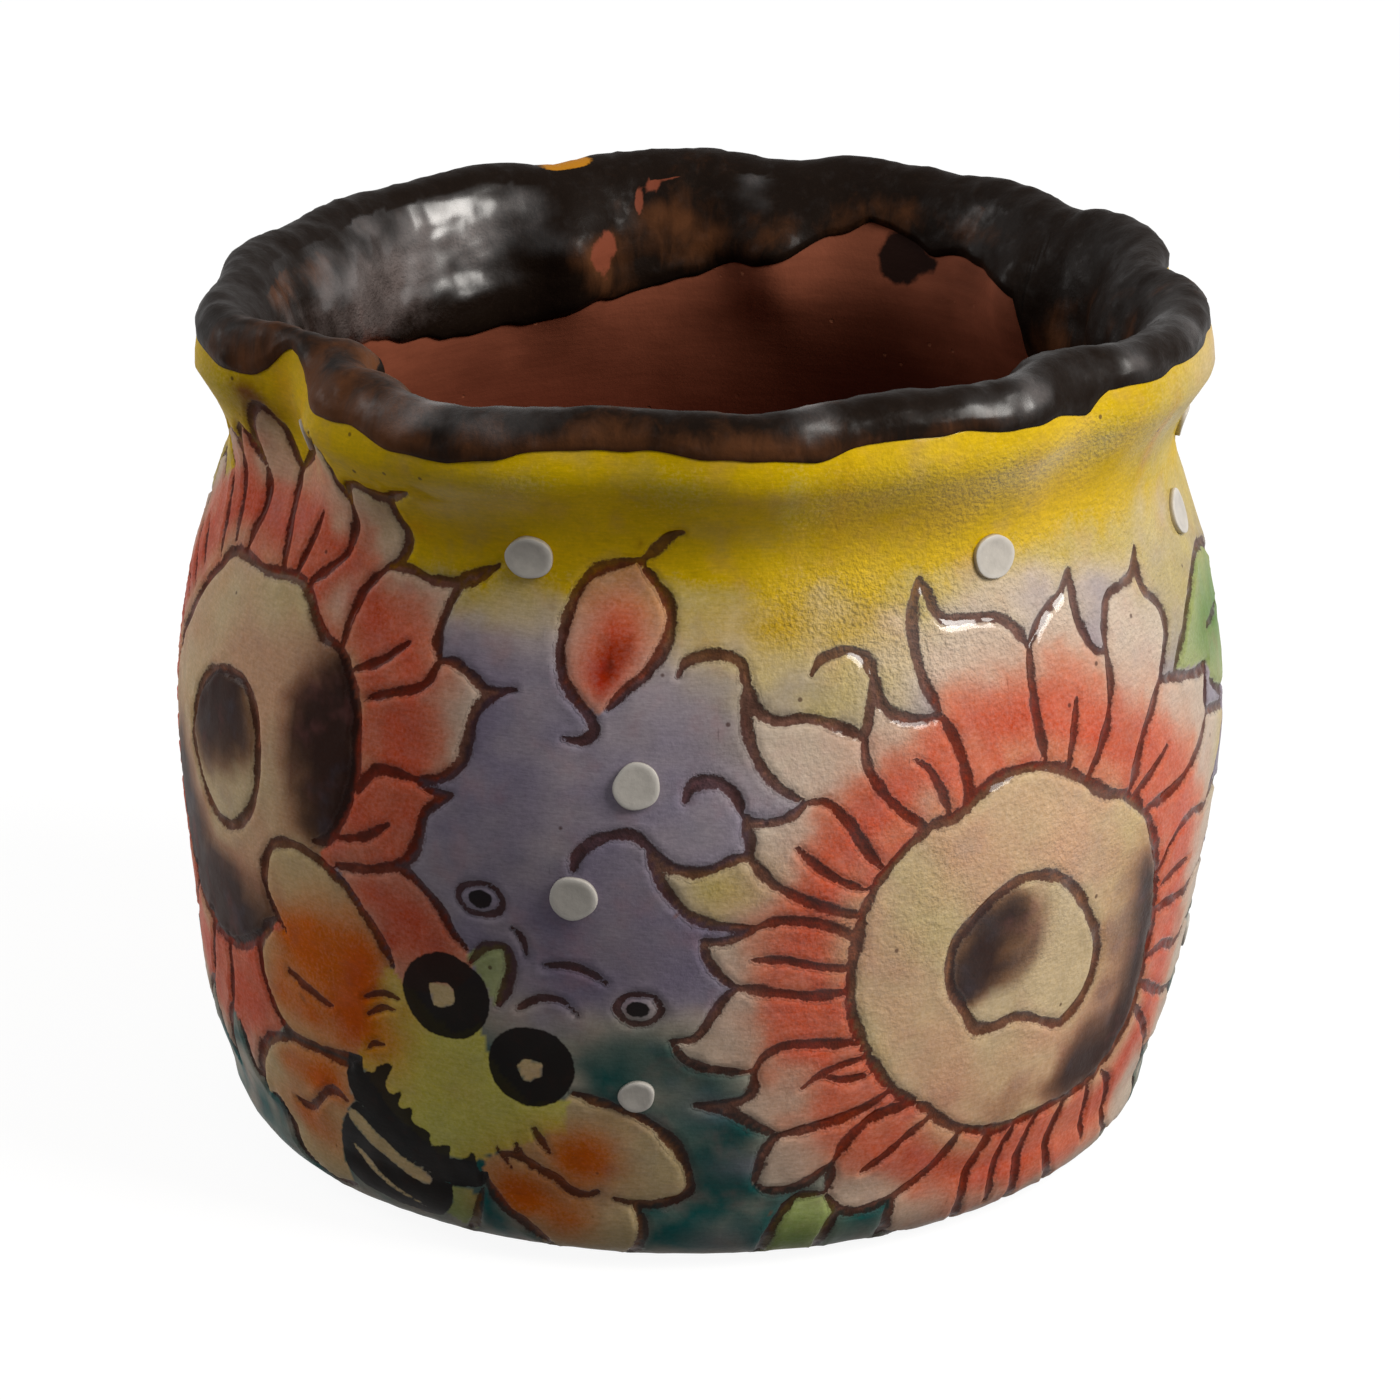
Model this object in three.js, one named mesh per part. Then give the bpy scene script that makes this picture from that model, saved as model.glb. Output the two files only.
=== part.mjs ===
// A small hand-built painted pot. One fired clay body has a flat foot, a full belly, a drawn-in
// neck and a rolled lip that fingers have pinched into uneven lobes. A coat of dark glaze wraps
// the lip and runs down inside the neck, and dots of thick white slip stand on the wall.
//
// Millimetres, +Z up. The pot stands on z = 0 with its axis on x = y = 0. Azimuth 0 is the
// front, which faces -Y, and azimuth grows towards +X.
import * as THREE from 'three';

// Outside of the clay body: each radius, and the rise from the level below it
const FOOT_RADIUS = 41.2;
const HEEL_RADIUS = 50.0;
const HEEL_RISE = 8.0;
const LOWER_RADIUS = 53.0;
const LOWER_RISE = 10.6;
const BELLY_RADIUS = 56.0;
const BELLY_RISE = 26.0;
const SHOULDER_RADIUS = 54.4;
const SHOULDER_RISE = 16.8;
const NECK_RADIUS = 50.3;
const NECK_RISE = 15.8;
const LIP_RADIUS = 54.2;
const LIP_RISE = 9.3;
const CREST_RISE = 6.5;
const CREST_INSET = 2.9;

// Thicknesses of the clay
const FLOOR = 6.5;
const WALL = 5.8;
const LIP_THICKNESS = 7.4;
const FLOOR_CORNER = 10;

// How the hand-built body departs from a true round
const FOOT_OFFSET = 1.2;
const PINCH_REACH = 6;

// The one sharp fold of the lip, left of the front
const FOLD_AZIMUTH = -57.5;
const FOLD_DEPTH_OUTSIDE = 5.0;
const FOLD_DEPTH_INSIDE = 0.9;
const FOLD_SPREAD_LEFT = 10;
const FOLD_SPREAD_RIGHT = 8;
const FOLD_LIFT = 1.2;

// Softer pinches: azimuth and spread in degrees, pushes towards the axis and lift in millimetres,
// and how many times the push acts at the crest, where 1 is as at the lip
const PINCHES = [
  { at: -50.4, spread: 3.7, outer: 0, inner: 1.0, lift: 0.3, crest: 6.5 },
  { at: -41.3, spread: 4, outer: 0, inner: 1.1, lift: 0.3, crest: 2.8 },
  { at: -29, spread: 13, outer: -1.2, inner: -0.2, lift: -0.8, crest: 1 },
  { at: -9, spread: 8, outer: 1.0, inner: 1.0, lift: 0.2, crest: 1 },
  { at: 7, spread: 6, outer: -0.4, inner: -1.0, lift: -0.3, crest: 1 },
  { at: 22, spread: 11, outer: -0.3, inner: 2.8, lift: 0.7, crest: 1 },
  { at: 48, spread: 7, outer: 1.6, inner: 4.2, lift: 0.8, crest: 1 },
  { at: 72, spread: 11, outer: -0.5, inner: 0.4, lift: -0.4, crest: 1 },
  { at: 98, spread: 8, outer: 3.8, inner: 3.2, lift: -0.6, crest: 0.9 },
  { at: 127, spread: 7, outer: 3.2, inner: 4.4, lift: -0.9, crest: 0.35 },
  { at: 148, spread: 9, outer: 0, inner: -0.8, lift: -0.7, crest: 0.5 },
  { at: 169, spread: 6, outer: 2.8, inner: 4.4, lift: -0.9, crest: 0.3 },
  { at: 199, spread: 6, outer: 2.8, inner: 4.4, lift: -0.8, crest: 0.4 },
  { at: 222, spread: 12, outer: -0.4, inner: -1.4, lift: -1.0, crest: 0.5 },
  { at: 243, spread: 11, outer: 1.2, inner: 2.8, lift: -1.0, crest: 0.8 },
  { at: 266, spread: 12, outer: 2.6, inner: 1.8, lift: -0.6, crest: 0.9 },
];

// Glaze coat over the lip
const GLAZE_THICKNESS = 0.4;
const GLAZE_CLEARANCE = 0.3;
const GLAZE_DROP_OUTSIDE = 3.3;
const GLAZE_DROP_INSIDE = 12.5;
const GLAZE_WAVE_OUTSIDE = 1.0;
const GLAZE_WAVE_INSIDE = 5.4;
const GLAZE_WAVES = 9;
const GLAZE_LOW_AZIMUTH = -31;
const GLAZE_HIGH_AZIMUTH = 152;

// Raised slip dots: azimuth in degrees, height above a level of the body, and radius
const DOT_HEIGHT = 0.8;
const DOT_CLEARANCE = 0.3;
const LARGE_DOT = 2.5;
const SMALL_DOT = 1.9;
const NECK_DOTS = [
  [-53.5, 7, SMALL_DOT], [-19.5, 0.4, LARGE_DOT], [35.5, -1.7, LARGE_DOT], [75, -6, LARGE_DOT],
  [81, 2.6, SMALL_DOT], [107, -1.5, LARGE_DOT], [148, 1, LARGE_DOT], [189, -0.5, LARGE_DOT],
  [228, 1.2, LARGE_DOT],
];
const BELLY_DOTS = [
  [-6.5, 11.4, LARGE_DOT], [-13, -0.6, LARGE_DOT], [-6, -22.6, SMALL_DOT], [88, -24.6, SMALL_DOT],
  [166.5, 17.4, LARGE_DOT], [165, -25.6, SMALL_DOT], [253, 17.4, LARGE_DOT], [254, -30.6, SMALL_DOT],
];

// Fineness of the facets
const COLUMNS = 104;
const COLUMN_CROWDING = 0.25;
const OUTER_ROWS = [2, 5, 4, 4, 5];
const INNER_ROWS = [4, 3, 2, 2];
const LIP_ROWS = 8;
const GLAZE_INNER_ROWS = 3;
const DOT_SIDES = 12;

// Levels of the body, each standing on the one below
const HEEL_LEVEL = HEEL_RISE;
const LOWER_LEVEL = HEEL_LEVEL + LOWER_RISE;
const BELLY_LEVEL = LOWER_LEVEL + BELLY_RISE;
const SHOULDER_LEVEL = BELLY_LEVEL + SHOULDER_RISE;
const NECK_LEVEL = SHOULDER_LEVEL + NECK_RISE;
const LIP_LEVEL = NECK_LEVEL + LIP_RISE;
const CREST_LEVEL = LIP_LEVEL + CREST_RISE;
const CREST_RADIUS = LIP_RADIUS - CREST_INSET;
const MOUTH_RADIUS = LIP_RADIUS - LIP_THICKNESS;

const { clamp, degToRad, euclideanModulo, lerp, radToDeg, smoothstep } = THREE.MathUtils;
const point = (radius, level) => new THREE.Vector2(radius, level);

// The wall outside, from the heel up to the widest ring of the lip
const outerWall = new THREE.SplineCurve([
  point(HEEL_RADIUS, HEEL_LEVEL), point(LOWER_RADIUS, LOWER_LEVEL), point(BELLY_RADIUS, BELLY_LEVEL),
  point(SHOULDER_RADIUS, SHOULDER_LEVEL), point(NECK_RADIUS, NECK_LEVEL), point(LIP_RADIUS, LIP_LEVEL),
]);

// The wall inside, from the mouth down to where it turns into the floor
const innerWall = new THREE.SplineCurve([
  point(MOUTH_RADIUS, LIP_LEVEL), point(NECK_RADIUS - WALL, NECK_LEVEL),
  point(SHOULDER_RADIUS - WALL, SHOULDER_LEVEL), point(BELLY_RADIUS - WALL, BELLY_LEVEL),
  point(LOWER_RADIUS - WALL, Math.max(LOWER_LEVEL, FLOOR + FLOOR_CORNER)),
]);

/** Signed angle in degrees from one azimuth to another, between -180 and 180. */
function turnBetween(from, to) {
  return euclideanModulo(to - from + 180, 360) - 180;
}

/** Bell curve over azimuth that is 1 at its middle. */
function bell(azimuth, middle, left, right = left) {
  const turn = turnBetween(middle, azimuth);
  return Math.exp(-((turn / (turn < 0 ? left : right)) ** 2));
}

/** How far the fingers push a point of the lip inwards, and how far they lift it. */
function pinch(azimuth, level, side) {
  const grip = smoothstep(level, NECK_LEVEL - PINCH_REACH, LIP_LEVEL);
  const atCrest = smoothstep(level, LIP_LEVEL - CREST_RISE / 2, CREST_LEVEL);
  const raise = smoothstep(level, NECK_LEVEL, CREST_LEVEL);
  const fold = bell(azimuth, FOLD_AZIMUTH, FOLD_SPREAD_LEFT, FOLD_SPREAD_RIGHT);
  let push = fold * lerp(FOLD_DEPTH_OUTSIDE, FOLD_DEPTH_INSIDE, side) * grip;
  let lift = fold * FOLD_LIFT * raise;
  for (const { at, spread, outer, inner, lift: rise, crest } of PINCHES) {
    const share = bell(azimuth, at, spread);
    push += share * lerp(outer, inner, side) * grip * lerp(1, crest, atCrest);
    lift += share * rise * raise;
  }
  return { push, lift };
}

/** Place of a section point on the hand-shaped body. Side runs from 0 outside to 1 inside. */
function onBody(azimuth, { x: radius, y: level }, side) {
  const { push, lift } = pinch(azimuth, level, side);
  const angle = degToRad(azimuth);
  const offset = FOOT_OFFSET * (1 - smoothstep(level, HEEL_LEVEL, BELLY_LEVEL));
  return new THREE.Vector3(
    (radius - push) * Math.sin(angle) - offset, -(radius - push) * Math.cos(angle), level + lift);
}

/** Section point of the rolled lip: turn 0 is its widest ring outside, 90 the crest, 180 the mouth. */
function lipPoint(turn) {
  const angle = degToRad(turn);
  const reach = turn < 90 ? LIP_RADIUS - CREST_RADIUS : CREST_RADIUS - MOUTH_RADIUS;
  return point(CREST_RADIUS + reach * Math.cos(angle), LIP_LEVEL + CREST_RISE * Math.sin(angle));
}

/** Point of a falling or rising wall curve at a given level, found by halving. */
function atLevel(curve, level) {
  const rising = curve.getPoint(1).y > curve.getPoint(0).y;
  let [low, high] = [0, 1];
  for (let step = 0; step < 40; step += 1) {
    const middle = (low + high) / 2;
    if ((curve.getPoint(middle).y < level) === rising) low = middle;
    else high = middle;
  }
  return curve.getPoint((low + high) / 2);
}

/** Point that stands off a surface, given the surface as a function of steps along and around it. */
function standingOff(surface, distance) {
  const step = 0.02;
  const along = surface(step, 0).sub(surface(-step, 0));
  const around = surface(0, step).sub(surface(0, -step));
  return surface(0, 0).addScaledVector(around.cross(along).normalize(), distance);
}

/** Closed solid from rings of points. A ring of one point is a pole. */
function ringSolid(rings, joined = false) {
  const geometry = new THREE.BufferGeometry();
  const starts = [];
  const vertices = [];
  for (const ring of rings) {
    starts.push(vertices.length);
    vertices.push(...ring);
  }
  const corner = (row, column) => starts[row] + (column % rings[row].length);
  const sides = Math.max(...rings.map((ring) => ring.length));
  const faces = [];
  for (let row = 0; row < rings.length - (joined ? 0 : 1); row += 1) {
    const next = (row + 1) % rings.length;
    for (let column = 0; column < sides; column += 1) {
      const [a, b] = [corner(row, column), corner(row, column + 1)];
      const [c, d] = [corner(next, column + 1), corner(next, column)];
      if (a !== b) faces.push(a, b, c);
      if (c !== d) faces.push(a, c, d);
    }
  }
  geometry.setFromPoints(vertices);
  geometry.setIndex(faces);
  geometry.computeVertexNormals();
  return geometry;
}

/** Azimuths of the columns of facets, closer together round the sharp fold. */
function columnAzimuths() {
  return Array.from({ length: COLUMNS }, (_, column) => {
    const turn = (column / COLUMNS) * 360;
    return FOLD_AZIMUTH + turn - radToDeg(COLUMN_CROWDING * Math.sin(degToRad(turn)));
  });
}

/** Points along a wall curve, with its own number of rows between each two levels. */
function wallRows(curve, rows) {
  const points = [];
  rows.forEach((count, span) => {
    for (let row = 1; row <= count; row += 1) {
      points.push(curve.getPoint((span + row / count) / rows.length));
    }
  });
  return points;
}

/** The fired clay: floor, wall, neck and rolled lip in one piece. */
function clayBody(azimuths) {
  const section = [];
  for (let turn = 0; turn <= 90; turn += 30) {
    const angle = degToRad(turn);
    section.push([point(
      FOOT_RADIUS + (HEEL_RADIUS - FOOT_RADIUS) * Math.sin(angle),
      HEEL_LEVEL * (1 - Math.cos(angle))), 0]);
  }
  for (const wallPoint of wallRows(outerWall, OUTER_ROWS)) section.push([wallPoint, 0]);
  for (let row = 1; row <= LIP_ROWS; row += 1) {
    section.push([lipPoint((row / LIP_ROWS) * 180), row / LIP_ROWS]);
  }
  for (const wallPoint of wallRows(innerWall, INNER_ROWS)) section.push([wallPoint, 1]);
  const corner = innerWall.getPoint(1);
  for (let turn = 30; turn <= 90; turn += 30) {
    const angle = degToRad(turn);
    section.push([point(
      corner.x - FLOOR_CORNER * (1 - Math.cos(angle)),
      corner.y - (corner.y - FLOOR) * Math.sin(angle)), 1]);
  }
  const rings = section.map(([place, side]) => azimuths.map((azimuth) => onBody(azimuth, place, side)));
  return ringSolid([[new THREE.Vector3(-FOOT_OFFSET, 0, 0)], ...rings, [new THREE.Vector3(0, 0, FLOOR)]]);
}

/** The glaze: an even coat over the lip with a wavy edge outside and a lower one inside the neck. */
function glazeCoat(azimuths) {
  const rowTurn = 180 / LIP_ROWS;
  const column = (azimuth) => {
    const outside = Math.cos(GLAZE_WAVES * degToRad(azimuth - GLAZE_LOW_AZIMUTH));
    const inside = Math.cos(2 * degToRad(azimuth - GLAZE_HIGH_AZIMUTH));
    const dropOutside = clamp(GLAZE_DROP_OUTSIDE + GLAZE_WAVE_OUTSIDE * outside, 0.5, CREST_RISE * 0.9);
    const edgeTurn = radToDeg(Math.asin(1 - dropOutside / CREST_RISE));
    const edgeLevel = Math.min(CREST_LEVEL - GLAZE_DROP_INSIDE + GLAZE_WAVE_INSIDE * inside, LIP_LEVEL - 1);
    const turns = [Math.min(edgeTurn, 1.8 * rowTurn)];
    for (let row = 2; row <= LIP_ROWS; row += 1) turns.push(row * rowTurn);
    const surfaces = turns.map((turn) => (along, around) => (
      onBody(azimuth + around, lipPoint(turn + along), (turn + along) / 180)));
    for (let row = 1; row <= GLAZE_INNER_ROWS; row += 1) {
      const level = lerp(LIP_LEVEL, edgeLevel, row / GLAZE_INNER_ROWS);
      surfaces.push((along, around) => onBody(azimuth + around, atLevel(innerWall, level - along), 1));
    }
    return surfaces;
  };
  const columns = azimuths.map(column);
  const skin = (distance) => columns[0].map((_, row) => (
    columns.map((surfaces) => standingOff(surfaces[row], distance))));
  const under = skin(GLAZE_CLEARANCE);
  const over = skin(GLAZE_CLEARANCE + GLAZE_THICKNESS);
  return ringSolid([...over, ...under.reverse()], true);
}

/** One dot of slip, curved with the wall it sits on, with a low dome. */
function slipDot(azimuth, level, radius) {
  const degreesPerMillimetre = radToDeg(1 / atLevel(outerWall, level).x);
  const spot = (across, up, distance) => standingOff((along, around) => (
    onBody(azimuth + across * degreesPerMillimetre + around, atLevel(outerWall, level + up + along), 0)
  ), distance);
  const ring = (share, distance) => Array.from({ length: DOT_SIDES }, (_, side) => {
    const angle = (side / DOT_SIDES) * 2 * Math.PI;
    return spot(radius * share * Math.cos(angle), radius * share * Math.sin(angle), distance);
  });
  return ringSolid([
    [spot(0, 0, DOT_CLEARANCE)], ring(0.94, DOT_CLEARANCE),
    ring(1, DOT_CLEARANCE + DOT_HEIGHT * 0.4), ring(0.72, DOT_CLEARANCE + DOT_HEIGHT * 0.86),
    [spot(0, 0, DOT_CLEARANCE + DOT_HEIGHT)],
  ]);
}

const clay = new THREE.MeshStandardMaterial({ color: 0xc4937a, roughness: 0.45, metalness: 0 });
const glaze = new THREE.MeshStandardMaterial({ color: 0x231c1a, roughness: 0.25, metalness: 0 });
const slip = new THREE.MeshStandardMaterial({ color: 0xd9cfd2, roughness: 0.3, metalness: 0 });

/** Adds one named mesh to the pot. */
function addPiece(group, name, geometry, material) {
  const mesh = new THREE.Mesh(geometry, material);
  mesh.name = name;
  group.add(mesh);
}

const pot = new THREE.Group();
const azimuths = columnAzimuths();
addPiece(pot, 'clay_body', clayBody(azimuths), clay);
addPiece(pot, 'rim_glaze', glazeCoat(azimuths), glaze);

const dots = [
  ...NECK_DOTS.map(([azimuth, rise, radius]) => [azimuth, NECK_LEVEL + rise, radius]),
  ...BELLY_DOTS.map(([azimuth, rise, radius]) => [azimuth, BELLY_LEVEL + rise, radius]),
];
dots.forEach(([azimuth, level, radius], index) => {
  const name = `slip_dot_${String(index + 1).padStart(2, '0')}`;
  addPiece(pot, name, slipDot(azimuth, level, radius), slip);
});

export default pot;
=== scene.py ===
"""Looks of a small hand-built painted pot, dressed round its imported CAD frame.

The fired body is one closed skin from the middle of the foot, up the wall, over the rolled lip and
down to the middle of the floor inside. Its flowers, leaves, drop and winged insect are cut into
the clay as real grooves and sprayed with soft colour. A separate coat of dark glaze wraps the lip,
and domed dots of white slip stand on the wall.

Sizes here are millimetres and degrees, like those of the CAD source, until a mesh is finished.
Azimuth 0 is the front, which faces -Y, and azimuth grows towards +X.
"""

import logging
import math
from collections.abc import Iterable, Sequence
from dataclasses import dataclass, field
from enum import Enum
from typing import Any

import bmesh
import bpy
import numpy as np
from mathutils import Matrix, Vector
from mathutils.kdtree import KDTree


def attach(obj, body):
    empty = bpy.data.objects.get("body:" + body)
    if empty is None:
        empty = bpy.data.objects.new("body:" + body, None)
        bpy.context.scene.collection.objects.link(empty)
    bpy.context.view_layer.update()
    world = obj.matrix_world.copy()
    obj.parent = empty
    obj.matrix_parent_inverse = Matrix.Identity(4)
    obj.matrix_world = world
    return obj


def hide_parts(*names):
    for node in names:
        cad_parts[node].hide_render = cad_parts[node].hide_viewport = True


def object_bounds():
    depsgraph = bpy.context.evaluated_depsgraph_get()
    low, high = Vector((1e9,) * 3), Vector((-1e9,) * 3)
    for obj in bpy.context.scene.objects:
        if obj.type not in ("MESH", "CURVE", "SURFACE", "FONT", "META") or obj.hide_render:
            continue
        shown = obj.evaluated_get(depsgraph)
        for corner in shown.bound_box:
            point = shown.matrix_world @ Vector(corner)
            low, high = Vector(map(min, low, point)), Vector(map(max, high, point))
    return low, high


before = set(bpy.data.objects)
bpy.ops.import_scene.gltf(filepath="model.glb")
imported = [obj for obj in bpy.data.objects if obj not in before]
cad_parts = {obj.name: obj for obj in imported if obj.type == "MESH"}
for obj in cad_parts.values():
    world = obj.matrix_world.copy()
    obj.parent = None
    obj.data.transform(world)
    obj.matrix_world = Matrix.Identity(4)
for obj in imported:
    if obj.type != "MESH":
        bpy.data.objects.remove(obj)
CAD_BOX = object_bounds()

LOG = logging.getLogger("painted_pot")
MM = 0.001
DEGREE = 0.96  # millimetres on the wall in a degree of azimuth
INSIDE_DEGREE = 0.82  # the same on the clay inside the neck
HEART_CUT, RIB_CUT, FINE_CUT = 1.15, 0.95, 0.85  # widths of cuts that aren't plain
UNCUT = 3.0  # distance to a cut, in its half widths, beyond which there is none
Points = Sequence[tuple[float, float]]


# Maths


def smoothstep(value: Any, low: float, high: float) -> Any:
    """Soft step from 0 at low to 1 at high."""
    share = np.clip((np.asarray(value, float) - low) / (high - low), 0, 1)
    return share * share * (3 - 2 * share)


def lerp(start: Any, end: Any, share: Any) -> Any:
    """Value between start and end."""
    return start + (end - start) * share


def wrap(degrees: Any) -> Any:
    """Angle brought between -180 and 180."""
    return (np.asarray(degrees, float) + 180) % 360 - 180


def bell(azimuth: Any, middle: float, left: float, right: float | None = None) -> Any:
    """Bell curve over azimuth that is 1 at its middle, with its own spread on each side."""
    turn = wrap(azimuth - middle)
    return np.exp(-((turn / np.where(turn < 0, left, left if right is None else right)) ** 2))


def unit(vectors: np.ndarray) -> np.ndarray:
    """Rows scaled to length 1, with zero rows left at zero."""
    return vectors / np.maximum(np.linalg.norm(vectors, axis=1, keepdims=True), 1e-12)


def track(*numbers: float) -> Points:
    """Points from azimuth and height in turn."""
    return tuple(zip(numbers[::2], numbers[1::2]))


def smooth_line(points: Points, per_span: int = 8, closed: bool = False) -> np.ndarray:
    """Smooth curve through points.

    Args:
        points: the points that it passes through.
        per_span: samples between two points.
        closed: whether it comes back to its first point.

    Returns:
        The samples as rows.
    """
    knots = np.array(points, float)
    if closed:
        knots = np.vstack([knots[-1:], knots, knots[:2]])
    else:
        knots = np.vstack([knots[:1], knots, knots[-1:]])
    share = np.linspace(0, 1, per_span, endpoint=False)[:, None]
    rows = []
    for before, start, end, after in zip(knots, knots[1:], knots[2:], knots[3:]):
        rise, fall = (end - before) / 2, (after - start) / 2
        rows.append(
            (2 * start - 2 * end + rise + fall) * share**3
            + (3 * end - 3 * start - 2 * rise - fall) * share**2
            + rise * share
            + start
        )
    rows.append(knots[-2:-1])
    return np.vstack(rows)


@dataclass(frozen=True)
class Mottle:
    """Smooth random variation in space, the same at each run.

    Attributes:
        seed: which variation it is.
        wavelength: size of its patches in millimetres.
        waves: number of waves summed.
    """

    seed: int
    wavelength: float
    waves: int = 28

    def at(self, places: np.ndarray) -> np.ndarray:
        """Value at each place, mostly between -1 and 1.

        Args:
            places: places as rows.

        Returns:
            The value at each.
        """
        random = np.random.default_rng(self.seed)
        heading = unit(random.normal(size=(self.waves, 3)))
        pace = 2 * math.pi / (self.wavelength * random.uniform(0.6, 1.9, self.waves))
        phase = random.uniform(0, 2 * math.pi, self.waves)
        total = np.zeros(len(places))
        for direction, step, start in zip(heading, pace, phase):
            total += np.sin(places @ direction * step + start)
        return total / math.sqrt(self.waves) * 0.9


# Colours


def pigment(red: int, green: int, blue: int) -> np.ndarray:
    """Linear colour of a tone that is named as it looks on a screen, 0 to 255."""
    share = np.array([red, green, blue]) / 255
    return np.where(share <= 0.04045, share / 12.92, ((share + 0.055) / 1.055) ** 2.4)


class Paint(Enum):
    """The painter's colours."""

    PAPER = (204, 186, 168)
    YELLOW = (214, 176, 2)
    YELLOW_DEEP = (192, 150, 2)
    YELLOW_PALE = (192, 172, 88)
    AMBER = (204, 136, 34)
    LAVENDER = (142, 134, 149)
    LAVENDER_DEEP = (112, 102, 124)
    CORAL = (208, 104, 82)
    CORAL_DEEP = (176, 58, 40)
    CREAM = (206, 184, 148)
    BLUSH = (206, 150, 124)
    SMOKE = (46, 26, 20)
    UMBER = (120, 72, 48)
    TEAL = (18, 80, 78)
    LEAF = (92, 126, 62)
    LEAF_PALE = (158, 168, 104)
    ORANGE = (204, 96, 34)
    WING = (204, 180, 138)
    HONEY = (214, 206, 112)
    INK = (16, 7, 6)
    BARK = (62, 26, 14)

    @property
    def linear(self) -> np.ndarray:
        """The colour as the renderer counts it."""
        return pigment(*self.value)


# Form of the body


@dataclass(frozen=True)
class Pinch:
    """One place where fingers pressed the lip.

    Attributes:
        at: azimuth.
        spread: width in degrees.
        outer: push towards the axis outside.
        inner: push towards the axis inside.
        lift: rise of the crest.
        crest: how many times the push acts at the crest.
    """

    at: float
    spread: float
    outer: float
    inner: float
    lift: float
    crest: float = 1.0


PINCHES = (
    Pinch(-50.4, 3.7, 0, 1.0, 0.3, 6.5),
    Pinch(-41.3, 4.0, 0, 1.1, 0.3, 2.8),
    Pinch(-29, 13, -1.2, -0.2, -0.8),
    Pinch(-9, 8, 1.0, 1.0, 0.2),
    Pinch(7, 6, -0.4, -1.0, -0.3),
    Pinch(22, 11, -0.3, 2.8, 0.7),
    Pinch(48, 7, 1.6, 4.2, 0.8),
    Pinch(72, 11, -0.5, 0.4, -0.4),
    Pinch(98, 8, 3.8, 3.2, -0.6, 0.9),
    Pinch(127, 7, 3.2, 4.4, -0.9, 0.35),
    Pinch(148, 9, 0, -0.8, -0.7, 0.5),
    Pinch(169, 6, 2.8, 4.4, -0.9, 0.3),
    Pinch(199, 6, 2.8, 4.4, -0.8, 0.4),
    Pinch(222, 12, -0.4, -1.4, -1.0, 0.5),
    Pinch(243, 11, 1.2, 2.8, -1.0, 0.8),
    Pinch(266, 12, 2.6, 1.8, -0.6, 0.9),
)


@dataclass(frozen=True)
class Section:
    """The body's section from the middle of the foot, over the lip, to the middle of the floor.

    Attributes:
        travel: way along the section.
        radius: distance from the axis.
        level: height.
        side: 0 outside, 0.5 at the crest, 1 inside.
        marks: travel at each named place.
    """

    travel: np.ndarray
    radius: np.ndarray
    level: np.ndarray
    side: np.ndarray
    marks: dict[str, float]

    def at(self, travel: Any) -> tuple[np.ndarray, np.ndarray, np.ndarray]:
        """Radius, level and side at a travel."""
        return tuple(np.interp(travel, self.travel, part) for part in (self.radius, self.level, self.side))

    def on_wall(self, level: Any) -> np.ndarray:
        """Travel at which the outside passes a level."""
        outside = (self.travel >= self.marks["heel"]) & (self.travel <= self.marks["crest"])
        return np.interp(level, self.level[outside], self.travel[outside])

    def in_mouth(self, level: Any) -> np.ndarray:
        """Travel at which the inside passes a level."""
        inside = (self.travel >= self.marks["crest"]) & (self.travel <= self.marks["floor"])
        return np.interp(level, self.level[inside][::-1], self.travel[inside][::-1])


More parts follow.
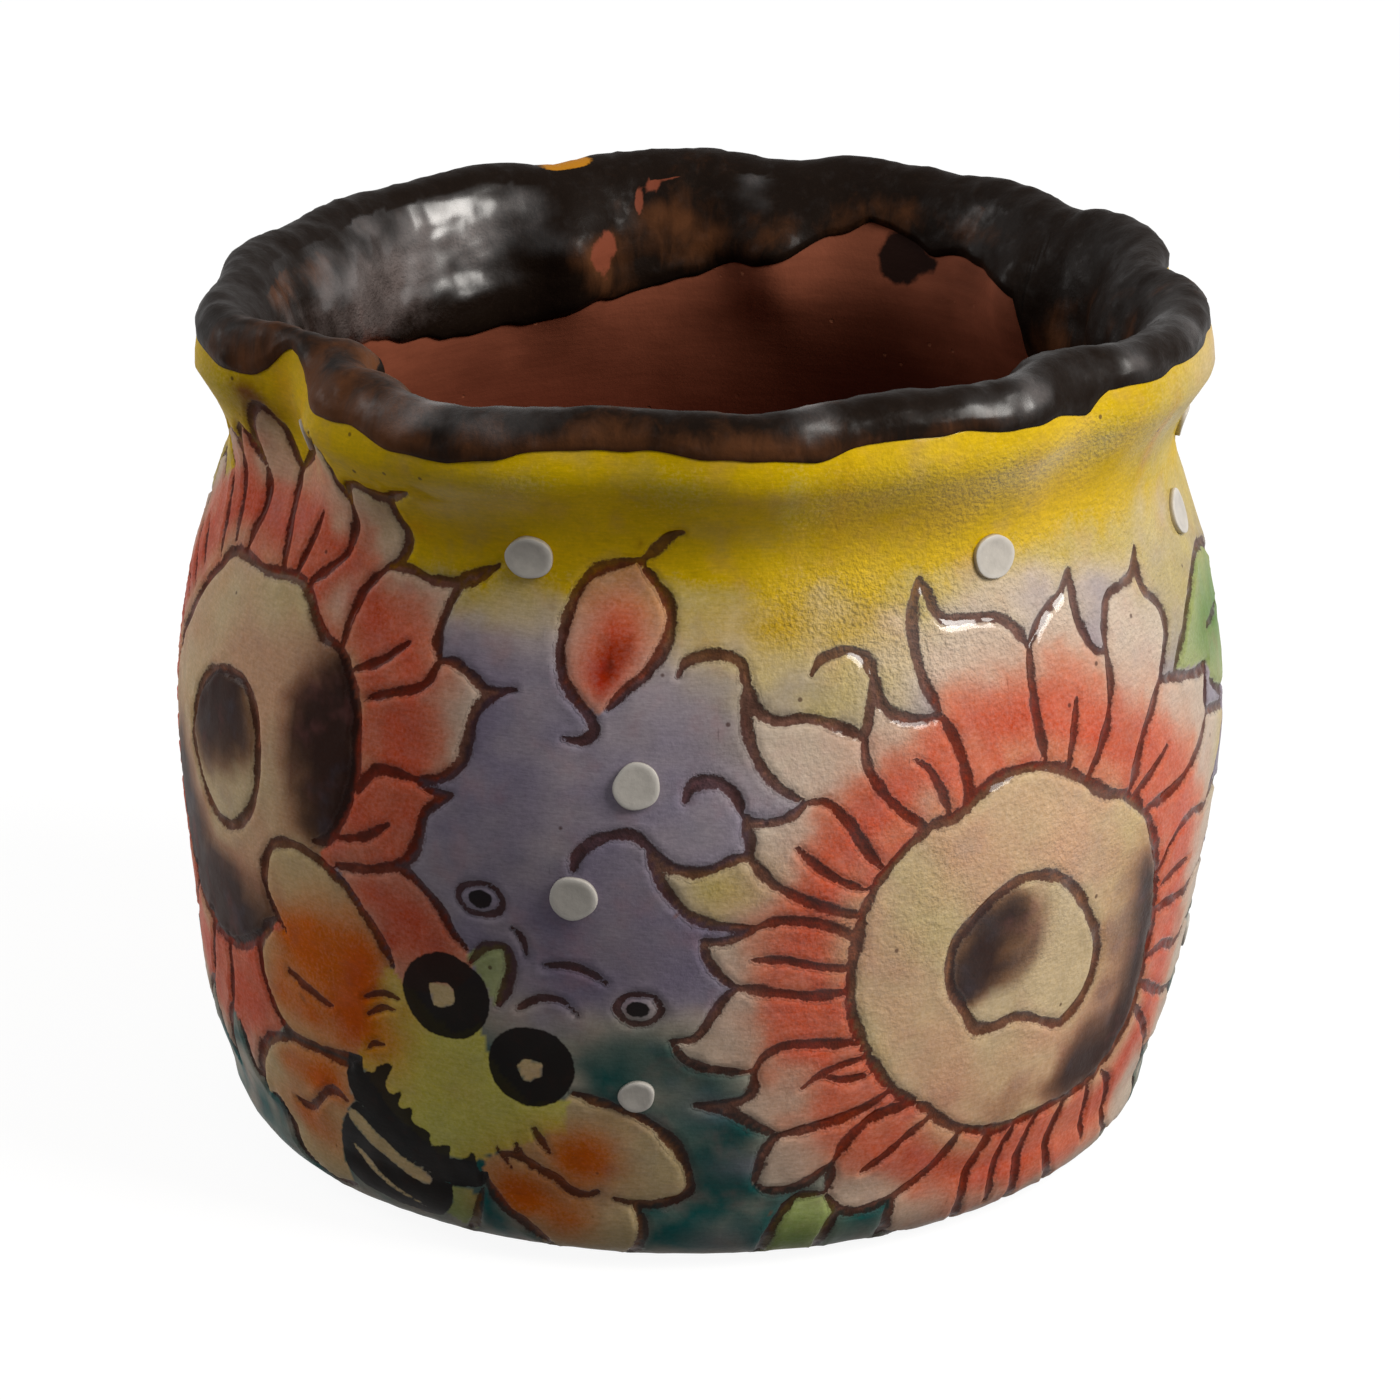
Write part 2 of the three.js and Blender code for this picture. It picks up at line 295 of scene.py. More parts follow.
@dataclass(frozen=True)
class PotForm:
    """Sizes of the fired body and the shape that they give, as in the CAD source."""

    foot_radius: float = 41.2
    heel: tuple[float, float] = (50.0, 8.0)
    lower: tuple[float, float] = (53.0, 18.6)
    belly: tuple[float, float] = (56.0, 44.6)
    shoulder: tuple[float, float] = (54.4, 61.4)
    neck: tuple[float, float] = (50.3, 77.2)
    lip: tuple[float, float] = (54.2, 86.5)
    crest_rise: float = 6.5
    crest_inset: float = 2.9
    lip_thickness: float = 7.4
    wall: float = 5.8
    floor: float = 6.5
    floor_corner: float = 10.0
    foot_offset: float = 1.2
    pinch_reach: float = 6.0
    fold_azimuth: float = -57.5
    fold_spread: tuple[float, float] = (10.0, 8.0)
    fold_depth: tuple[float, float] = (5.0, 0.9)
    fold_lift: float = 1.2
    unevenness: float = 0.1
    section: Section = field(init=False)

    def __post_init__(self) -> None:
        """Works out the section once."""
        object.__setattr__(self, "section", self._section())

    @property
    def crest_level(self) -> float:
        """Height of the top of the lip before fingers pressed it."""
        return self.lip[1] + self.crest_rise

    def _section(self) -> Section:
        """Joins the foot, heel, wall, lip, inner wall and floor into one way.

        Returns:
            The section and its marks.
        """
        quarter = np.linspace(0, math.pi / 2, 40)
        crest_radius = self.lip[0] - self.crest_inset
        corner = (self.lower[0] - self.wall, max(self.lower[1], self.floor + self.floor_corner))
        throat = (self.neck[0] - self.wall, self.neck[1])
        fall = np.radians((0, 6, 14, 26, 40, 54, 68))
        inner = smooth_line(
            list(zip(crest_radius - (crest_radius - throat[0]) * np.sin(fall),
                     throat[1] + (self.crest_level - throat[1]) * np.cos(fall)))
            + [throat]
            + [(radius - self.wall, level) for radius, level in (self.shoulder, self.belly)]
            + [corner],
            24,
        )
        high = int(np.argmax(inner[:, 1] < self.lip[1]))
        rise = np.clip((inner[: high + 1, 1] - self.lip[1]) / self.crest_rise, 0, 1)
        heel_radius, heel_level = self.heel
        runs = {
            "foot": np.array([(0.0, 0.0), (self.foot_radius, 0.0)]),
            "heel": np.column_stack([
                self.foot_radius + (heel_radius - self.foot_radius) * np.sin(quarter),
                heel_level * (1 - np.cos(quarter)),
            ]),
            "wall": smooth_line([self.heel, self.lower, self.belly, self.shoulder, self.neck, self.lip], 60),
            "lip": np.vstack([
                np.column_stack([
                    crest_radius + self.crest_inset * np.cos(quarter), self.lip[1] + self.crest_rise * np.sin(quarter),
                ]),
                inner[1: high + 1],
            ]),
            "mouth": inner[high:],
            "floor": np.column_stack([
                corner[0] - self.floor_corner * (1 - np.cos(quarter)),
                corner[1] - (corner[1] - self.floor) * np.sin(quarter),
            ]),
            "middle": np.array([(corner[0] - self.floor_corner, self.floor), (0.0, self.floor)]),
        }
        places, sides, marks, total = [], [], {}, 0.0
        for name, run in runs.items():
            marks[name] = total
            total += float(np.linalg.norm(np.diff(run, axis=0), axis=1).sum())
            if name == "lip":
                side = np.concatenate([quarter / math.pi, 1 - np.arcsin(rise[1:]) / math.pi])
            else:
                side = np.full(len(run), 0.0 if name in ("foot", "heel", "wall") else 1.0)
            start = 1 if places else 0
            places.append(run[start:])
            sides.append(side[start:])
        way = np.vstack(places)
        travel = np.concatenate([[0.0], np.cumsum(np.linalg.norm(np.diff(way, axis=0), axis=1))])
        marks["end"] = float(travel[-1])
        marks["crest"] = float(travel[int(np.argmax(way[:, 1]))])
        return Section(travel, way[:, 0], way[:, 1], np.concatenate(sides), marks)

    def place(self, azimuth: Any, radius: Any, level: Any, side: Any) -> np.ndarray:
        """Where a point of the section is, once the body is pinched and leans.

        Args:
            azimuth: azimuth of each point.
            radius: radius before shaping.
            level: height before shaping.
            side: 0 outside to 1 inside.

        Returns:
            The points as rows of x, y and z.
        """
        grip = smoothstep(level, self.neck[1] - self.pinch_reach, self.lip[1])
        at_crest = smoothstep(level, self.lip[1] - self.crest_rise / 2, self.crest_level)
        raising = smoothstep(level, self.neck[1], self.crest_level)
        fold = bell(azimuth, self.fold_azimuth, *self.fold_spread)
        push = fold * lerp(*self.fold_depth, side) * grip
        lift = fold * self.fold_lift * raising
        for pinch in PINCHES:
            share = bell(azimuth, pinch.at, pinch.spread)
            push = push + share * lerp(pinch.outer, pinch.inner, side) * grip * lerp(1, pinch.crest, at_crest)
            lift = lift + share * pinch.lift * raising
        angle = np.radians(azimuth)
        push = push + self.unevenness * self._hand(angle, level) * smoothstep(level, 1, 9)
        offset = self.foot_offset * (1 - smoothstep(level, self.heel[1], self.belly[1]))
        reach = radius - push
        return np.column_stack([
            reach * np.sin(angle) - offset, -reach * np.cos(angle), level + lift + 0 * angle,
        ])

    @staticmethod
    def _hand(angle: np.ndarray, level: np.ndarray) -> np.ndarray:
        """Slow unevenness of a wall made by hand, between -1 and 1.

        Args:
            angle: azimuth of each point in radians.
            level: its height.

        Returns:
            The unevenness at each.
        """
        return (
            np.sin(5 * angle + 0.11 * level)
            + np.sin(9 * angle - 0.17 * level + 1.3)
            + np.sin(14 * angle + 0.23 * level + 4.1)
            + np.sin(2 * angle + 0.31 * level + 2.2)
        ) / 4

    def skin(self, azimuth: Any, travel: Any, stand_off: Any = 0.0) -> np.ndarray:
        """Points on the shaped surface, or off it along its normal.

        Args:
            azimuth: azimuth of each point.
            travel: way along the section.
            stand_off: distance off the surface.

        Returns:
            The points as rows of x, y and z.
        """
        azimuth, travel, stand_off = np.broadcast_arrays(
            np.asarray(azimuth, float), np.asarray(travel, float), np.asarray(stand_off, float))
        here = self.place(azimuth, *self.section.at(travel))
        return here + self.normal(azimuth, travel) * stand_off[:, None]

    def normal(self, azimuth: np.ndarray, travel: np.ndarray) -> np.ndarray:
        """Outward direction of the shaped surface at each point.

        Args:
            azimuth: azimuth of each point.
            travel: way along the section.

        Returns:
            The directions as rows of length 1.
        """
        end = self.section.marks["end"]
        step_turn, step_way = 0.25, 0.35

        def near(turn: float, way: float) -> np.ndarray:
            """Places a little round and a little along from each point."""
            return self.place(azimuth + turn, *self.section.at(np.clip(travel + way, 0.01, end - 0.01)))

        around = near(step_turn, 0) - near(-step_turn, 0)
        along = near(0, step_way) - near(0, -step_way)
        return unit(np.cross(around, along))


# Line work


@dataclass(frozen=True)
class Stroke:
    """One line cut into the clay, through points of azimuth and height.

    Attributes:
        points: azimuth and height of each point.
        width: width of the cut.
        closed: whether it is a loop.
    """

    points: Points
    width: float = 1.05
    closed: bool = False

    def samples(self, form: PotForm, step: float = 0.25) -> tuple[np.ndarray, np.ndarray]:
        """Finely spaced places along the cut.

        Args:
            form: the body that it is cut into.
            step: spacing.

        Returns:
            The places, and the half width at each.
        """
        flat = smooth_line(self.points, 10, self.closed)
        rough = form.skin(flat[:, 0], form.section.on_wall(flat[:, 1]))
        length = np.concatenate([[0.0], np.cumsum(np.linalg.norm(np.diff(rough, axis=0), axis=1))])
        count = max(3, int(length[-1] / step))
        way = np.linspace(0, length[-1], count)
        azimuth, height = (np.interp(way, length, flat[:, axis]) for axis in (0, 1))
        places = form.skin(azimuth, form.section.on_wall(height))
        half = np.full(count, self.width / 2)
        half *= 1 + 0.17 * Mottle(7, 4.0).at(places) + 0.1 * Mottle(8, 1.6).at(places)
        if not self.closed:
            to_end = np.minimum(way, length[-1] - way)
            half *= 0.55 + 0.45 * smoothstep(to_end, 0, 2.2)
        return places, np.maximum(half, 0.16)


class LineField:
    """Distance to the nearest of many lines on the body."""

    def __init__(self, strokes: Iterable[Stroke], form: PotForm) -> None:
        """Samples every stroke.

        Args:
            strokes: the lines.
            form: the body that they are on.
        """
        places, halves, last = [], [], []
        for stroke in strokes:
            place, half = stroke.samples(form)
            places.append(place)
            halves.append(half)
            last.append(np.arange(len(half)) == len(half) - 1)
        self.places = np.vstack(places)
        self.halves = np.concatenate(halves)
        self.last = np.concatenate(last)
        self.tree = KDTree(len(self.places))
        for index, place in enumerate(self.places.tolist()):
            self.tree.insert(place, index)
        self.tree.balance()

    def measure(self, points: np.ndarray) -> tuple[np.ndarray, np.ndarray]:
        """Distance to the nearest line and the line's half width there.

        Args:
            points: places as rows.

        Returns:
            The distances and the half widths.
        """
        near = np.array([self.tree.find(point)[1] for point in points.tolist()])
        best = np.linalg.norm(points - self.places[near], axis=1)
        count = len(self.places)
        for start in (near, np.maximum(near - 1, 0)):
            end = np.minimum(start + 1, count - 1)
            span = self.places[end] - self.places[start]
            size = np.maximum((span**2).sum(1), 1e-9)
            share = np.clip(((points - self.places[start]) * span).sum(1) / size, 0, 1)
            gap = np.linalg.norm(points - self.places[start] - span * share[:, None], axis=1)
            joined = ~self.last[start] & (start < count - 1)
            best = np.where(joined & (gap < best), gap, best)
        return best, self.halves[near]


@dataclass(frozen=True)
class Puff:
    """One soft spray of colour.

    Attributes:
        at: azimuth of its middle.
        height: height of its middle.
        across: spread in degrees.
        up: spread in height.
        strength: how strong it is in the middle.
    """

    at: float
    height: float
    across: float
    up: float
    strength: float = 1.0


def puffs(*rows: tuple[float, ...]) -> tuple[Puff, ...]:
    """Several sprays from rows of their five values."""
    return tuple(Puff(*row) for row in rows)


class Canvas:
    """The outside of the pot as a painter sees it: azimuth, height and colour at each vertex."""

    def __init__(self, azimuth: np.ndarray, height: np.ndarray, places: np.ndarray) -> None:
        """Starts with bare pale ground.

        Args:
            azimuth: azimuth of each vertex.
            height: height of each vertex before the lip is lifted.
            places: its place.
        """
        self.azimuth = azimuth
        self.height = height
        self.places = places
        self.colour = np.tile(Paint.PAPER.linear, (len(azimuth), 1))
        self.soft = Mottle(21, 5.0).at(places)
        self.cloud = Mottle(22, 17.0).at(places)
        self.fine = Mottle(23, 1.8).at(places)

    def lay(self, paint: Paint, amount: np.ndarray) -> None:
        """Covers each vertex with a colour by an amount from 0 to 1."""
        share = np.clip(amount, 0, 1)[:, None]
        self.colour += (paint.linear - self.colour) * share

    def dab(self, paint: Paint, *rows: tuple[float, ...], within: Any = 1.0) -> None:
        """Sprays a colour in several places, as far as a mask lets it."""
        self.lay(paint, within * self.spray(puffs(*rows)))

    def inside(self, outline: np.ndarray) -> np.ndarray:
        """Which vertices an outline of azimuth and height encloses.

        Args:
            outline: azimuth and height of each corner, as rows.

        Returns:
            Whether each vertex is inside.
        """
        middle = float(outline[:, 0].mean())
        across = wrap(self.azimuth - middle)
        edge = np.column_stack([outline[:, 0] - middle, outline[:, 1]])
        found = np.zeros(len(across), bool)
        low, high = edge.min(0), edge.max(0)
        close = np.nonzero(
            (across >= low[0]) & (across <= high[0]) & (self.height >= low[1]) & (self.height <= high[1]))[0]
        x, y = across[close], self.height[close]
        hit = np.zeros(len(close), bool)
        for (x0, y0), (x1, y1) in zip(edge, np.roll(edge, -1, axis=0)):
            if y0 == y1:
                continue
            crossing = (y0 > y) != (y1 > y)
            hit ^= crossing & (x < (x1 - x0) * (y - y0) / (y1 - y0) + x0)
        found[close] = hit
        return found

    def spray(self, sprays: Iterable[Puff], grain: float = 0.14) -> np.ndarray:
        """Amount of colour that several sprays leave at each vertex.

        Args:
            sprays: the sprays.
            grain: how much the mottle breaks their edges.

        Returns:
            The amounts, from 0 to 1.
        """
        clear = np.ones(len(self.azimuth))
        for puff in sprays:
            reach = (wrap(self.azimuth - puff.at) / puff.across) ** 2 + (
                (self.height - puff.height) / puff.up) ** 2
            clear *= 1 - np.clip(puff.strength * np.exp(-reach), 0, 1)
        amount = 1 - clear
        return np.clip(amount + grain * self.soft * amount * (1 - amount) * 4, 0, 1)


# Motifs


@dataclass(frozen=True)
class Patch:
    """A closed area with one ground colour.

    Attributes:
        outline: its edge, azimuth and height.
        paint: its colour.
        amount: how well the colour covers.
    """

    outline: Points
    paint: Paint
    amount: float = 1.0


@dataclass(frozen=True)
class Petal:
    """One flame-shaped petal, given counter-clockwise round its flower.

    Attributes:
        rise: edge from the notch before it to its tip.
        fall: edge from its tip to the notch after it.
        border: cut from the notch after it to the heart of the flower.
        curl: hook that the cut makes past the tip.
        ribs: short cuts inside it.
    """

    rise: Points
    fall: Points
    border: Points = ()
    curl: Points = ()
    ribs: tuple[Points, ...] = ()

    def cuts(self) -> list[Stroke]:
        """The strokes of this petal.

        Returns:
            The strokes, without empty ones.
        """
        lines = [Stroke(tuple(self.rise) + tuple(self.curl)), Stroke(self.fall)]
        if self.border:
            lines.append(Stroke(self.border))
        lines += [Stroke(rib, RIB_CUT) for rib in self.ribs]
        return [line for line in lines if len(line.points) > 1]


@dataclass(frozen=True)
class Flower:
    """A big round flower: a pale heart with an eye, and a crown of flame petals.

    Attributes:
        centre: azimuth and height of its middle.
        heart: closed outline of the heart.
        heart_cuts: cuts along the heart's outline.
        eye: closed outline of the eye.
        petals: the crown, counter-clockwise.
        covered: edge of the crown after the last petal, where something else lies over it.
        shade: dark sprays on the heart.
        eye_shade: dark sprays in the eye.
        flush: how far the red reaches out from the heart, at its start and end.
        pale: sprays where a petal stays pale.
        tint: sprays of pale yellow on the petals.
    """

    centre: tuple[float, float]
    heart: Points
    eye: Points
    petals: tuple[Petal, ...]
    heart_cuts: tuple[Points, ...] = ()
    shade: tuple[Puff, ...] = ()
    eye_shade: tuple[Puff, ...] = ()
    flush: tuple[float, float] = (7.5, 13.0)
    pale: tuple[Puff, ...] = ()
    tint: tuple[Puff, ...] = ()
    covered: Points = ()

    def strokes(self) -> list[Stroke]:
        """Every cut of the flower.

        Returns:
            The strokes.
        """
        lines = [Stroke(cut, HEART_CUT) for cut in self.heart_cuts] or [Stroke(self.heart, HEART_CUT, True)]
        lines.append(Stroke(self.eye, HEART_CUT, True))
        for petal in self.petals:
            lines += petal.cuts()
        return lines

    def crown(self) -> np.ndarray:
        """Outline of the whole crown.

        Returns:
            Its azimuths and heights as rows.
        """
        parts = []
        for petal in self.petals:
            parts += [smooth_line(petal.rise, 6), smooth_line(petal.fall, 6)]
        return np.vstack(parts + [np.reshape(self.covered, (-1, 2))])

    def paint(self, canvas: Canvas) -> None:
        """Lays the flower's colours on the canvas.

        Args:
            canvas: the outside of the pot.
        """
        middle, level = self.centre
        heart = smooth_line(self.heart, 6, True)
        across, up = wrap(canvas.azimuth - middle) * DEGREE, canvas.height - level
        edge = np.column_stack([(heart[:, 0] - middle) * DEGREE, heart[:, 1] - level])
        bearing = np.arctan2(edge[:, 1], edge[:, 0])
        order = np.argsort(bearing)
        reach = np.hypot(*edge.T)[order]
        beyond = np.hypot(across, up) - np.interp(
            np.arctan2(up, across), bearing[order], reach, period=2 * math.pi)
        crown = canvas.inside(self.crown()).astype(float)
        canvas.lay(Paint.PAPER, crown * 0.9)
        start, end = self.flush
        flush = 1 - smoothstep(beyond + 1.0 * canvas.soft + 1.3 * canvas.cloud + 0.5 * canvas.fine, start, end)
        flush *= 1 - canvas.spray(self.pale)
        canvas.lay(Paint.YELLOW_PALE, crown * canvas.spray(self.tint))
        halo = 1 - smoothstep(beyond + 1.2 * canvas.cloud + 0.8 * canvas.soft, start + 2, end + 4)
        canvas.lay(Paint.BLUSH, crown * halo * 0.55)
        canvas.lay(Paint.BLUSH, crown * smoothstep(flush, 0, 0.6) * 0.8)
        canvas.lay(Paint.CORAL, crown * smoothstep(flush, 0.12, 0.95) * np.clip(0.84 + 0.16 * canvas.soft, 0, 1))
        canvas.lay(Paint.CORAL_DEEP, crown * flush * np.clip(0.12 + 0.24 * canvas.cloud + 0.12 * canvas.fine, 0, 0.5))
        close = crown * (1 - smoothstep(beyond, 0.5, 4.5))
        canvas.lay(Paint.CREAM, close * np.clip(0.15 + 0.5 * canvas.cloud + 0.3 * canvas.soft, 0, 0.6))
        disc = canvas.inside(heart).astype(float)
        canvas.lay(Paint.CREAM, disc)
        canvas.lay(Paint.YELLOW_PALE, disc * np.clip(0.02 - 0.22 * canvas.cloud + 0.08 * canvas.soft, 0, 0.22))
        canvas.lay(Paint.BLUSH, disc * np.clip(0.26 + 0.34 * canvas.cloud + 0.14 * canvas.soft, 0, 0.6))
        shade = canvas.spray(self.shade)
        canvas.lay(Paint.BLUSH, disc * smoothstep(shade, 0, 0.4) * 0.5)
        canvas.lay(Paint.UMBER, disc * smoothstep(shade, 0.02, 0.6) * 0.6)
        canvas.lay(Paint.SMOKE, disc * smoothstep(shade, 0.16, 0.9))
        eye = canvas.inside(smooth_line(self.eye, 6, True)).astype(float)
        canvas.lay(Paint.CREAM, eye)
        shade = canvas.spray(self.eye_shade)
        canvas.lay(Paint.UMBER, eye * smoothstep(shade, 0.05, 0.6) * 0.8)
        canvas.lay(Paint.SMOKE, eye * smoothstep(shade, 0.25, 0.95))


@dataclass(frozen=True)
class FlowerSeed:
    """Sizes from which a whole flower, or a run of its petals, is grown.

    Attributes:
        centre: azimuth and height of its middle.
        heart: half width in degrees and half height of the heart.
        petals: number of petals.
        bearings: start and end bearing of the run, counter-clockwise from the right.
        tip: reach of the tips, in hearts.
        notch: reach of the notches, in hearts.
        hook: how far the tips lean round.
        seed: which random variation.
        lowest: height below which nothing reaches.
        highest: height that the tips only approach.
        flatten: height over which they come to it.
    """

    centre: tuple[float, float]
    heart: tuple[float, float]
    petals: int
    bearings: tuple[float, float] = (0.0, 360.0)
    tip: float = 1.95
    notch: float = 1.5
    hook: float = 0.35
    seed: int = 1
    lowest: float = 0.6
    highest: float = 74.0
    flatten: float = 5.0

    def spot(self, bearing: float, reach: float) -> tuple[float, float]:
        """Azimuth and height at a bearing and a reach counted in hearts.

        Args:
            bearing: degrees counter-clockwise from the right.
            reach: distance from the middle.

        Returns:
            The azimuth and the height.
        """
        angle = math.radians(bearing)
        height = self.centre[1] + self.heart[1] * reach * math.sin(angle)
        over = height - self.highest + self.flatten
        if over > 0:
            height = self.highest - self.flatten * math.exp(-over / self.flatten)
        return self.centre[0] + self.heart[0] * reach * math.cos(angle), max(height, self.lowest)

    def grow(self) -> tuple[Petal, ...]:
        """The run of petals.

        Returns:
            The petals, counter-clockwise.
        """
        random = np.random.default_rng(self.seed)
        start, end = self.bearings
        step = (end - start) / self.petals
        full = abs(end - start - 360) < 1e-6
        notches = start + step * (np.arange(self.petals + 1) + random.uniform(-0.12, 0.12, self.petals + 1))
        depth = self.notch + random.uniform(-0.08, 0.08, self.petals + 1)
        if full:
            notches[-1], depth[-1] = notches[0] + 360, depth[0]
        petals = []
        for index in range(self.petals):
            first, last = notches[index], notches[index + 1]
            middle, half = (first + last) / 2, (last - first) / 2
            reach = self.tip + random.uniform(-0.1, 0.1)
            lean = half * self.hook * (1 + random.uniform(-0.4, 0.4))
            top = middle + lean
            deep, out = depth[index], depth[index + 1]
            rise = (
                self.spot(first, deep),
                self.spot(first + half * 0.05, lerp(deep, reach, 0.35)),
                self.spot(lerp(first, top, 0.35), lerp(deep, reach, 0.68)),
                self.spot(lerp(first, top, 0.8), lerp(deep, reach, 0.86)),
                self.spot(top, reach),
            )
            fall = (
                self.spot(top, reach),
                self.spot(lerp(top, last, 0.1), lerp(reach, out, 0.42)),
                self.spot(lerp(top, last, 0.45), lerp(reach, out, 0.78)),
                self.spot(last, out),
            )
            border = (
                self.spot(last, out),
                self.spot(last + half * 0.12, lerp(out, 1, 0.45)),
                self.spot(last + half * 0.02, lerp(out, 1, 0.8)),
                self.spot(last - half * 0.05, 1.02),
            )
            ribs = ()
            if random.uniform() < 0.6:
                ribs = ((
                    self.spot(middle - half * 0.1, 1.05), self.spot(middle, 1.18),
                    self.spot(middle + half * 0.14, 1.33),
                ),)
            petals.append(Petal(rise, fall, border, (), ribs))
        return tuple(petals)

    def flower(self) -> Flower:
        """The whole flower, with the eye a little off its middle.

        Returns:
            The flower.
        """
        random = np.random.default_rng(self.seed + 50)
        heart = tuple(self.spot(bearing, 1 + random.uniform(-0.03, 0.03)) for bearing in range(0, 360, 24))
        across, up = self.heart
        east, north = self.centre[0] - 0.08 * across, self.centre[1] + 0.06 * up
        eye = tuple(
            (east + across * 0.46 * math.cos(math.radians(turn)) * (1 + 0.06 * random.uniform(-1, 1)),
             north + up * 0.46 * math.sin(math.radians(turn)) * (1 + 0.06 * random.uniform(-1, 1)))
            for turn in range(0, 360, 36))
        middle, level = self.centre
        shade = puffs(
            (middle + across * 0.82, level - up * 0.25, across * 0.2, up * 0.36, 0.8),
            (middle + across * 0.55, level - up * 0.72, across * 0.32, up * 0.22, 1.0),
            (middle + across * 0.2, level - up * 0.86, across * 0.3, up * 0.16, 0.7),
        )
        eye_shade = puffs(
            (east - across * 0.2, north + up * 0.12, across * 0.26, up * 0.26, 1.0),
            (east - across * 0.02, north + up * 0.2, across * 0.22, up * 0.2, 0.8),
        )
        return Flower(self.centre, heart, eye, self.grow(), (), shade, eye_shade)


